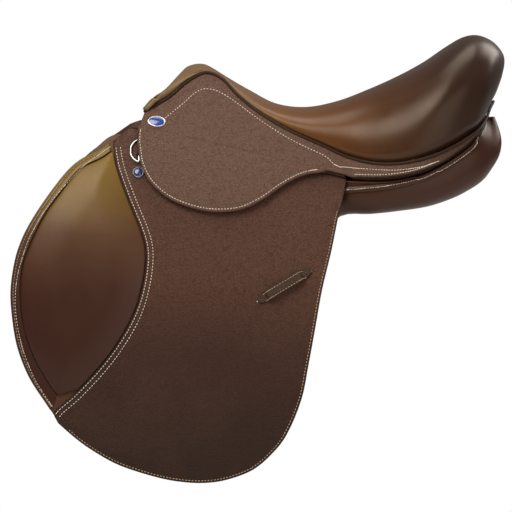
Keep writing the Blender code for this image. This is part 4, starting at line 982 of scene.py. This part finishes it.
def inset_line(line, distance, middle=FLAP_MIDDLE):
    """An open line moved sideways, to the side that the middle lies on."""
    run = tangents(line)
    across = np.stack([-run[:, 1], run[:, 0]], 1) * distance
    return min((line + across, line - across), key=lambda moved: np.linalg.norm(moved - middle, axis=1).sum())


# Panels
def panel_rings():
    """Sections of the near panel: a flat pad under the flap, then a full roll under the cantle."""
    rings = []
    for x, low in PANEL_FRONT:
        ahead = x < PANEL_HEAD_X
        height = crease_z(x)
        top = height + PANEL_OVER_FOLD
        if ahead:
            top = min(top, 117.0 + (x + 200.0) * 0.79)
        tuck = HEAD_IN - FIT
        upper = min(height - 1.0, top - 6.0)
        middle = (upper + low) / 2
        rows = ((top, tuck), (upper, tuck), (upper - 5.0, PANEL_OUT), (middle, PANEL_OUT),
                (low + 11.0, PANEL_OUT), (low, PANEL_OUT - PANEL_THICK * 0.45),
                (low + 13.0, PANEL_OUT - PANEL_THICK), (middle, PANEL_OUT - PANEL_THICK * 1.1),
                (upper - 7.0, PANEL_OUT - PANEL_THICK * 1.35))
        ring = [flank(x, z, out) for z, out in rows]
        if ahead:
            inner = ring[-1][1] + 2.0
            ring += [(x, inner, upper - 1.0), (x, inner - 1.0, upper + 3.0), (x, inner - 4.0, top + 0.5)]
        else:
            crown = flank(x, top + 2.0, tuck - 5.0)
            gullet = GULLET_HALF + 10.0 * max(0.0, min(1.0, (-60.0 - x) / 50.0))
            gullet = min(gullet, -crown[1] - 4.0)
            ring += [(x, -gullet - 3.0, upper - 2.0), (x, -gullet, upper + 9.0), crown]
        rings.append(ring)
    for bottom, top, wide_top, wide_low in PANEL_REAR:
        gullet = min(GULLET_HALF, wide_low * 0.6)
        ring = []
        for share, level, at_gullet in REAR_SECTION:
            wide = lerp(wide_low / 0.84, wide_top, min(level * 1.6, 1.0))
            half = max(gullet if at_gullet else share * wide, gullet)
            ring.append((lerp(bottom[0], top[0], level), -half, lerp(bottom[1], top[1], level)))
        rings.append(ring)
    return np.array(rings, float)


def closed_spline(ring, steps):
    """A smooth curve round through the points and back to the first."""
    around = np.vstack([ring[-3:], ring, ring[:3]])
    return spline(around, steps)[3 * steps:-(2 * steps) - 1]


def build_panel(fit):
    rings = panel_rings()
    along = np.stack([spline(rings[:, j], 4) for j in range(rings.shape[1])], 1)
    fine = np.array([closed_spline(ring, 5) for ring in along])
    front, back = ([lerp(ring, ring.mean(0), t) for t in (0.3, 0.6, 0.9)] for ring in (fine[0], fine[-1]))
    panel = face_out(loft("panel_left", np.concatenate([front[::-1], fine, back]), caps=True, edge=UNCUT))
    fit(panel, "panel_calf", "root", "panel_leather", "panel_left", fill=0.75)

    line = resample(spline(PANEL_STITCH, 6), 2.0)
    beside = np.column_stack([line[:, 0], np.full(len(line), BESIDE_PANEL), line[:, 1]])
    at, normals = laid(tree_of(panel), beside, np.tile((0.0, -1.0, 0.0), (len(line), 1)), 300.0)
    across = np.cross(tangents(at), normals)
    half, high = PANEL_RIDGE
    section = [(half * math.cos(a), high * max(math.sin(a), -0.6) + 0.2) for a in turn(12)]
    ridge = np.array([[p + c * u + n * v for u, v in section] for p, c, n in zip(at, across, normals)])
    band = face_out(loft("panel_ridge_left", ridge, caps=True, edge=UNCUT))
    fit(band, "panel_calf", "root", "panel_leather")
    fit(stitches("panel_stitches_left", at + normals * 2.7, normals, 3.4, 2.0, 0.36), "thread_pale", "root",
        "panel_leather")

    corners = rings[len(PANEL_FRONT):-1, 0].copy()
    corners[0] = lerp(corners[0], corners[1], 0.4)
    seam = corners + np.array([0.0, -0.75, 0.85]) * (PANEL_PIPING + FIT)
    fit(tube("panel_welt_left", spline(seam, 6), PANEL_PIPING), "piping", "root", "black_piping",
        "panel_welt_left")


# Straps and fittings
def build_billets(fit):
    half = BILLET_WIDTH / 2
    shoulder, near_tip = BILLET_TIP_Z + BILLET_SHOULDER, BILLET_TIP_Z + 3.0
    hole = HOLE_RADIUS * np.stack([np.cos(turn(12)), np.sin(turn(12))], 1)
    for name, x, web_x, out, body in BILLETS:
        top = crease_z(web_x) - BILLET_UNDER_FOLD
        outline = [(x - half, top), (x + half, top), (x + half, shoulder), (x + 7.0, near_tip),
                   (x, BILLET_TIP_Z), (x - 7.0, near_tip), (x - half, shoulder)]
        holes = [(x, BILLET_TIP_Z + HOLE_FIRST + HOLE_PITCH * k) + hole for k in range(HOLES)]
        strap = leather(name + "_left", outline, out - BILLET_THICK, BILLET_THICK, holes, 6.0, rounding=0.9,
                        bands=(0.4, 1.0, 2.0, 3.4), step=2.4)
        fit(strap, "strap_leather", body, "strap_leather", name + "_left")
        side, start, turn_in = half - BILLET_STITCH_IN, top - BILLET_SEWN, shoulder + 2.0
        row = np.array([(x - side, start), (x - side, turn_in), (x, near_tip + 3.0), (x + side, turn_in),
                        (x + side, start)])
        stitch_row(fit, name + "_stitches_left", row, tree_of(strap), body, "strap_leather", out)


def disc(name, centre, normal, along, profile, sides=40, stretch=1.0):
    """A turned shape on the surface, from its profile of (radius, height)."""
    normal = normal / np.linalg.norm(normal)
    along = along - normal * (along @ normal)
    along /= np.linalg.norm(along)
    across = np.cross(normal, along)
    rings = np.array([[centre + normal * h + along * r * math.cos(a) + across * r * stretch * math.sin(a)
                       for a in turn(sides)] for r, h in profile])
    return face_out(loft(name, rings, caps=True))


def build_keeper(fit):
    """The leather loop on the flap: its profile along the loop, and its section across."""
    start, end = (np.array(p) for p in KEEPER_ENDS)
    length = np.linalg.norm(end - start)
    run = (end - start) / length
    across = np.array([-run[1], run[0]])
    high, foot = KEEPER_RISE - KEEPER_LEATHER, KEEPER_FOOT
    rise = [(-foot, FIT, 0.45), (-foot * 0.4, FIT, 0.8), (0.0, FIT, 1.0), (2.6, high * 0.75, 1.0),
            (5.0, high, 1.0)]
    fall = [(length - u, out, wide) for u, out, wide in rise[::-1]]
    profile = spline([*rise, (length / 2, high + 0.3, 1.0), *fall], 5)
    half = [(0.5, 0.3), (0.5, 0.6), (0.47, 0.88), (0.4, 0.97), (0.2, 1.0)]
    section = [(-0.5, 0.3), (-0.48, 0.0), (0.48, 0.0), *half, (0.0, 1.02),
               *((-v, lift) for v, lift in half[:0:-1])]
    rings, edge = [], []
    for u, out, wide in profile:
        ring = []
        for v, lift in section:
            p = start + run * u + across * v * KEEPER_WIDTH * wide
            ring.append(flank(p[0], p[1], max(out, FIT) + lift * KEEPER_LEATHER))
            edge.append((0.5 - abs(v)) * KEEPER_WIDTH * wide)
        rings.append(ring)
    keeper = face_out(loft("keeper_left", rings, caps=True, edge=edge))
    fit(keeper, "keeper_grain", "flap_left_body", "grain_leather", "keeper_left")
    surface = tree_of(keeper)
    for k, v in enumerate(KEEPER_ROWS):
        row = np.array([start + run * u + across * v * KEEPER_WIDTH
                        for u in np.linspace(-3.0, length + 3.0, 40)])
        stitch_row(fit, "keeper_row_%d_left" % k, row, surface, "flap_left_body", "grain_leather", thread=0.3)


def scaled(profile, wide, high=1.0):
    """A profile written in shares of a size, in millimetres."""
    return [(r * wide, h * high) for r, h in profile]


def build_round_stud(fit):
    """The navy stud on the flap, with a ring of steel beads set in its rim."""
    body, down = "flap_left_body", np.array((0.0, 0.0, -1.0))
    at, normal = (v[0] for v in flank_rows([STUD_AT], FIT))
    dome = ((0.7, 0.0), (0.7, 1.1), (0.62, 1.7), (0.45, 2.05), (0.2, 2.3), (0.3 / STUD_RADIUS, 2.36))
    rim = ((0.6, 0.0), (1.0, 0.0), (1.0, 0.8), (0.93, 1.3), (0.74, 1.4), (0.7, 1.0))
    bead = ((0.5, 0.9), (0.6, 1.3), (0.5, 1.7), (0.28, 1.95), (0.05, 2.0))
    fit(disc("round_stud_left", at, normal, down, scaled(dome, STUD_RADIUS)), "navy_enamel", body,
        "navy_enamel", "round_stud_left")
    ring = disc("stud_rim_left", at, normal, down, scaled(rim, STUD_RADIUS))
    side = unit(np.cross(normal, down))
    beads = []
    for a in turn(26):
        spot = at + (side * math.cos(a) + np.cross(side, normal) * math.sin(a)) * STUD_RADIUS * 0.83
        beads.append(disc("bead", spot, normal, down, bead, 10))
    fit(ring, "navy_enamel", body, "navy_enamel")
    fit(join("stud_beads_left", *beads), "bright_steel", body, "bright_steel")


def build_badge(fit):
    """The plain oval plate on the skirt, in its steel rim."""
    at, normal = (v[0] for v in flank_rows([BADGE_AT], SKIRT_OUT + FIT))
    tilt = math.radians(-5.0)
    along = np.array((math.cos(tilt), 0.0, math.sin(tilt)))
    half, thick = BADGE_SIZE[0] / 2, BADGE_SIZE[2]
    ratio = BADGE_SIZE[1] / BADGE_SIZE[0]
    plate = ((0.87, 0.0), (0.87, 0.4), (0.78, 0.62), (0.55, 0.8), (0.2, 0.88), (0.3 / half, 0.9))
    rim = ((0.82, 0.0), (1.0, 0.0), (1.0, 0.38), (0.96, 0.56), (0.9, 0.68), (0.86, 0.62), (0.84, 0.5))
    fit(disc("oval_stud_left", at, normal, along, scaled(plate, half, thick), 56, ratio), "blue_enamel",
        "root", "blue_enamel", "oval_stud_left")
    fit(disc("badge_rim_left", at, normal, along, scaled(rim, half, thick), 56, ratio), "bright_steel",
        "root", "bright_steel")


def build_dee(fit):
    """The steel loop, from its straight side in the tab round to the front."""
    u = DEE_HEIGHT / 2
    bow = [(-3.6, 0.93), (-7.2, 0.72), (-DEE_REACH, 0.35)]
    loop = [(0, u), (0, u * 0.5), (0, 0), (0, -u * 0.5), (0, -u), *((x, -u * z) for x, z in bow),
            (-DEE_REACH - 0.3, 0), *((x, u * z) for x, z in bow[::-1])]
    rows = closed_spline(np.array(loop), 5) + DEE_PIVOT
    points, normals = flank_rows(rows, DEE_AXIS_OUT)
    fit(tube("dee_left", points, DEE_WIRE, closed=True, up=normals[0]), "bright_steel", "dee_left_body",
        "bright_steel", "dee_left")


def draw_in(data, line, length):
    """Pulls a roll's ends in to the line that it follows."""
    line = resample(line, 1.0)
    along = np.minimum(np.arange(len(line)), np.arange(len(line))[::-1])
    for vertex in data.vertices:
        place = np.array(vertex.co) / MM
        nearest = int(np.argmin(np.linalg.norm(line - place, axis=1)))
        keep = 0.25 + 0.75 * smooth(along[nearest] / length)
        vertex.co = Vector(lerp(line[nearest], place, keep) * MM)


def build_copies(fit):
    """Pieces that keep their form but get eased edges, a skin and a weave."""
    for node, material, slot, width in EASED:
        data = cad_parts[node].data.copy()
        data.materials.clear()
        piece = bpy.data.objects.new(skin_name(node), data)
        bpy.context.scene.collection.objects.link(piece)
        bpy.context.view_layer.objects.active = piece
        bm = bmesh.new()
        bm.from_mesh(data)
        bmesh.ops.remove_doubles(bm, verts=bm.verts, dist=0.00002)
        bmesh.ops.dissolve_limit(bm, angle_limit=0.01, verts=bm.verts, edges=bm.edges)
        bm.to_mesh(data)
        bm.free()
        if node == "front_facing":
            draw_in(data, seat_rings()[0], FACING_TAPER)
        bevel = piece.modifiers.new("edges", "BEVEL")
        bevel.width, bevel.segments, bevel.angle_limit = width * MM, 2, math.radians(50)
        bevel.use_clamp_overlap = True
        piece.modifiers.new("normals", "WEIGHTED_NORMAL")
        for modifier in ("edges", "normals"):
            bpy.ops.object.modifier_apply(modifier=modifier)
        piece.data.shade_smooth()
        mark(piece.data, UNCUT, 0.0)
        body = "flap_left_body" if node == "dee_chape_left" else "root"
        fit(piece, material, body, slot, node)


def build_piping(fit):
    rows, down, _ = seat_edge()
    path = rows + down * SEAT_PIPING_DROP
    fit(tube("seat_welt_left", path, SEAT_PIPING, up=(1.0, 0.0, 0.2)), "piping", "root", "black_piping",
        "seat_welt_left")


def skirt_stitches(fit, upper, lobe, curve):
    """Rows on the skirt's top and tail, seen from above at the pommel and from the side behind."""
    surface = tree_of(upper, lobe)
    row = spline(SKIRT_STITCH, 4)
    row = row[crease_z(row[:, 0]) <= row[:, 1]]
    tail = spline([(x, z + SKIRT_STITCH_IN) for x, _, z in TAIL_EDGE[:4]], 8)
    for name, rows in (("skirt_stitches_left", row), ("skirt_tail_stitches_left", tail)):
        points, normals = flank_rows(rows, SKIRT_OUT + 6.0)
        ease = smooth((rows[:, 1] - 110.0) / 50.0)[:, None]
        behind = smooth((rows[:, 0] - 40.0) / 30.0)[:, None]
        normals = lerp(normals, np.array([0.0, -0.35, 0.94]), ease * 0.6)
        normals = unit(lerp(normals, np.array([0.0, -1.0, 0.0]), behind))
        side = np.column_stack([rows[:, 0], np.full(len(rows), BESIDE_SKIRT), rows[:, 1]])
        at, facing = laid(surface, lerp(points, side, behind), normals)
        fit(stitches(name, at, facing, thread=0.38), "thread_pale", "root", "grain_leather")
    edge = inset_line(curve[1:-2], SKIRT_STITCH_IN, SKIRT_MIDDLE)
    edge = edge[edge[:, 1] < crease_z(edge[:, 0], -2.0)]
    stitch_row(fit, "lobe_stitches_left", edge, tree_of(lobe), "skirt_left_body", "grain_leather",
               material="thread_pale")


def paint_metalwork(materials):
    """The tree's own solids stay as they are, with finer finishes on their slots."""
    for finish, names in FINER:
        for name in names:
            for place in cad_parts[name].material_slots:
                place.link = "OBJECT"
                place.material = materials[finish]


def make_materials(looks):
    """The finishes by name. Tones run along the height, or from front to back, as painted shade and light."""
    # Painted shade: each ramp darkens its leather low down; the seat darkens toward the cantle, the skirt
    # toward its tail
    seat_shade = shade_ramp(-0.17, 0.23, (112, 88, 60), (98, 62, 26), (80, 46, 18), (40, 21, 13), axis=0)
    skirt_shade = shade_ramp(0.08, 0.24, (100, 71, 58), (94, 66, 54), (80, 56, 44), axis=0)
    flap_shade = shade_ramp(-0.33, 0.09, (30, 11, 12), (52, 22, 18), (84, 50, 38), (86, 54, 42))
    # The knee pad is darker low down and golden at the top: painted shade below, a painted highlight above.
    knee_shade_and_highlight = shade_ramp(-0.22, 0.10, (46, 17, 11), (52, 23, 16), (72, 42, 24), (116, 92, 36))
    under_shade = shade_ramp(-0.2, 0.12, (50, 24, 16), (60, 34, 23), (88, 64, 38))
    lining_shade = shade_ramp(-0.3, 0.1, (70, 42, 30), (84, 56, 38))
    panel_shade = shade_ramp(-0.1, 0.12, (44, 15, 9), (54, 26, 18))
    strap_shade = shade_ramp(-0.25, 0.0, (56, 32, 23), (68, 42, 28))
    # The piping too is a little darker low down: painted shade.
    black = shade_ramp(-0.1, 0.2, (12, 9, 8), (16, 12, 11))
    dark = {"edge_tone": (26, 14, 12)}
    return {
        "seat": calf_leather("waxed_seat_calf", seat_shade, 0.34, 0.22 * looks.polish),
        "grain": grain_leather("pebbled_skirt_leather", skirt_shade, (98, 72, 58), (44, 26, 20), **dark),
        "flap_grain": grain_leather("pebbled_flap_leather", flap_shade, (76, 48, 40), (28, 14, 13), **dark,
                                    rough=0.54),
        "keeper_grain": grain_leather("keeper_leather", (62, 42, 34), (72, 50, 40), (30, 17, 14)),
        "knee_calf": calf_leather("knee_calf", knee_shade_and_highlight, 0.42, 0.2 * looks.polish, 0.8),
        "under_calf": calf_leather("under_calf", under_shade, 0.5, 0.08 * looks.polish, 0.9),
        "lining_calf": calf_leather("lining_calf", lining_shade, 0.6, 0.05, 0.8),
        "panel_calf": calf_leather("panel_calf", panel_shade, 0.4, 0.2 * looks.polish, 0.9),
        "strap_leather": calf_leather("strap_leather", strap_shade, 0.5, 0.1),
        "piping": calf_leather("black_piping", black, 0.6, 0.0),
        "thread_tan": thread("tan_thread", (186, 156, 118)),
        "thread_pale": thread("pale_thread", (226, 214, 190)),
        "webbing": webbing("cotton_webbing"),
        "beech": beech("laminated_beech_wood"),
        "steel": metal("black_steel", (92, 94, 98), 0.42),
        "bright_steel": metal("polished_steel", (206, 206, 198), 0.16),
        "blue_enamel": enamel("blue_enamel", (38, 60, 140), (22, 38, 104)),
        "navy_enamel": enamel("navy_enamel", (36, 52, 92), (22, 32, 62)),
    }


def fitter(materials):
    """Gives fit, which sets a piece's material and body, hides its CAD nodes, and mirrors a near-side piece.
    The slot that it is given is not used.
    """
    def fit(piece, material, body, slot, *nodes, fill=None):
        piece.data.materials.clear()
        piece.data.materials.append(materials[material])
        sides = [("left", piece)] + ([("right", mirrored(piece))] if "_left" in piece.name else [])
        for side, one in sides:
            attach(one, body.replace("left", side))
            if nodes:
                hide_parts(*(node.replace("left", side) for node in nodes))
        return piece
    return fit


# Stage
def aim(thing, target):
    thing.rotation_euler = (target - thing.location).to_track_quat("-Z", "Y").to_euler()
    bpy.context.scene.collection.objects.link(thing)


def build_stage(light):
    """A floor and a sky that the camera sees as white, four lamps, and the camera at the photo's place."""
    scene = bpy.context.scene
    bpy.ops.mesh.primitive_plane_add(size=1.0, location=(0.0, 0.0, FLOOR_Z))
    floor = bpy.context.object
    floor.name, floor.scale = "floor", (30.0, 30.0, 1.0)
    s = Shader("pale_floor")
    ray = s.node("LightPath", output="Is Camera Ray")
    white = s.node("Emission", output="Emission", Color=(1.0, 1.0, 1.0, 1.0), Strength=1.0)
    s.finish(Base_Color=s.mix(s.noise(2.0, 2.0), (226, 226, 226), (232, 232, 232)), Roughness=0.8)
    lit = Socket(s.tree, s.surface.outputs[0])
    both = s.node("MixShader", output="Shader", Fac=ray, at_1=lit, at_2=white)
    put(s.tree, s.tree.nodes["Material Output"].inputs["Surface"], both)
    floor.data.materials.append(s.material)
    for name, size, energy, place in LAMPS:
        data = bpy.data.lights.new(name, "AREA")
        data.energy, data.size = energy * light, size
        lamp = bpy.data.objects.new(name, data)
        lamp.location = place
        aim(lamp, LAMPS_AIM)
    world = bpy.data.worlds.new("studio")
    world.use_nodes = True
    scene.world = world
    tree = world.node_tree
    path = tree.nodes.new("ShaderNodeLightPath")
    mix = tree.nodes.new("ShaderNodeMix")
    mix.data_type = "RGBA"
    tree.links.new(path.outputs["Is Camera Ray"], mix.inputs["Factor"])
    mix.inputs[6].default_value = SKY
    mix.inputs[7].default_value = (1.0, 1.0, 1.0, 1.0)
    tree.links.new(mix.outputs[2], tree.nodes["Background"].inputs["Color"])
    scene.view_settings.view_transform = "Standard"
    camera = bpy.data.objects.new("camera", bpy.data.cameras.new("camera"))
    camera.location = CAMERA_AIM + Vector((0.0, -math.cos(CAMERA_LIFT), math.sin(CAMERA_LIFT))) * CAMERA_AWAY
    camera.data.sensor_width, camera.data.lens = 36.0, CAMERA_LENS
    aim(camera, CAMERA_AIM)
    scene.camera = camera


# The add-on
class SaddleLooks(bpy.types.PropertyGroup):
    """What a user can set before the pieces are made."""

    polish: bpy.props.FloatProperty(name="Polish", description="How strongly the waxed leather shines",
                                    default=1.0, min=0.0, max=2.0, subtype="FACTOR")
    light: bpy.props.FloatProperty(name="Light", description="How bright the studio lamps are",
                                   default=1.0, min=0.1, max=4.0, unit="NONE")


MADE = {}


def shared():
    """The materials, made at the first call, and the fitter that uses them."""
    if not MADE:
        MADE.update(make_materials(bpy.context.scene.saddle_looks))
    return fitter(MADE)


class SADDLE_OT_seat(bpy.types.Operator):
    """Builds the seat, its roll and its piping"""

    bl_idname = "saddle.seat"
    bl_label = "Seat"

    def execute(self, context):
        fit = shared()
        build_seat(fit)
        build_piping(fit)
        return {"FINISHED"}


class SADDLE_OT_skirt(bpy.types.Operator):
    """Builds the grained skirts with their stitching"""

    bl_idname = "saddle.skirt"
    bl_label = "Skirts"

    def execute(self, context):
        fit = shared()
        skirt_stitches(fit, *build_skirt(fit))
        return {"FINISHED"}


class SADDLE_OT_flap(bpy.types.Operator):
    """Builds the flaps, their linings, borders and knee pads"""

    bl_idname = "saddle.flap"
    bl_label = "Flaps"

    def execute(self, context):
        build_flap(shared())
        return {"FINISHED"}


class SADDLE_OT_panel(bpy.types.Operator):
    """Builds the stuffed panels and their trim"""

    bl_idname = "saddle.panel"
    bl_label = "Panels"

    def execute(self, context):
        build_panel(shared())
        return {"FINISHED"}


class SADDLE_OT_straps(bpy.types.Operator):
    """Builds the girth straps, webs and hidden leather"""

    bl_idname = "saddle.straps"
    bl_label = "Straps"

    def execute(self, context):
        fit = shared()
        build_billets(fit)
        build_copies(fit)
        return {"FINISHED"}


class SADDLE_OT_fittings(bpy.types.Operator):
    """Builds the keeper, studs and rings, and finishes the tree's metal and wood"""

    bl_idname = "saddle.fittings"
    bl_label = "Fittings"

    def execute(self, context):
        fit = shared()
        for build in (build_keeper, build_round_stud, build_badge, build_dee):
            build(fit)
        paint_metalwork(MADE)
        return {"FINISHED"}


class SADDLE_OT_stage(bpy.types.Operator):
    """Sets the floor, the studio light and the camera"""

    bl_idname = "saddle.stage"
    bl_label = "Stage"

    def execute(self, context):
        build_stage(context.scene.saddle_looks.light)
        return {"FINISHED"}


STEPS = ("seat", "skirt", "flap", "panel", "straps", "fittings", "stage")


class SADDLE_PT_tools(bpy.types.Panel):
    """The steps in order, with their settings"""

    bl_label = "Saddle"
    bl_space_type = "VIEW_3D"
    bl_region_type = "UI"
    bl_category = "Saddle"

    def draw(self, context):
        looks = context.scene.saddle_looks
        self.layout.prop(looks, "polish")
        self.layout.prop(looks, "light")
        for step in STEPS:
            self.layout.operator("saddle." + step)


CLASSES = (SaddleLooks, SADDLE_OT_seat, SADDLE_OT_skirt, SADDLE_OT_flap, SADDLE_OT_panel, SADDLE_OT_straps,
           SADDLE_OT_fittings, SADDLE_OT_stage, SADDLE_PT_tools)


def register():
    for one in CLASSES:
        bpy.utils.register_class(one)
    bpy.types.Scene.saddle_looks = bpy.props.PointerProperty(type=SaddleLooks)


def unregister():
    del bpy.types.Scene.saddle_looks
    for one in reversed(CLASSES):
        bpy.utils.unregister_class(one)


def main():
    register()
    for step in STEPS:
        getattr(bpy.ops.saddle, step)()


if __name__ == "__main__":
    main()
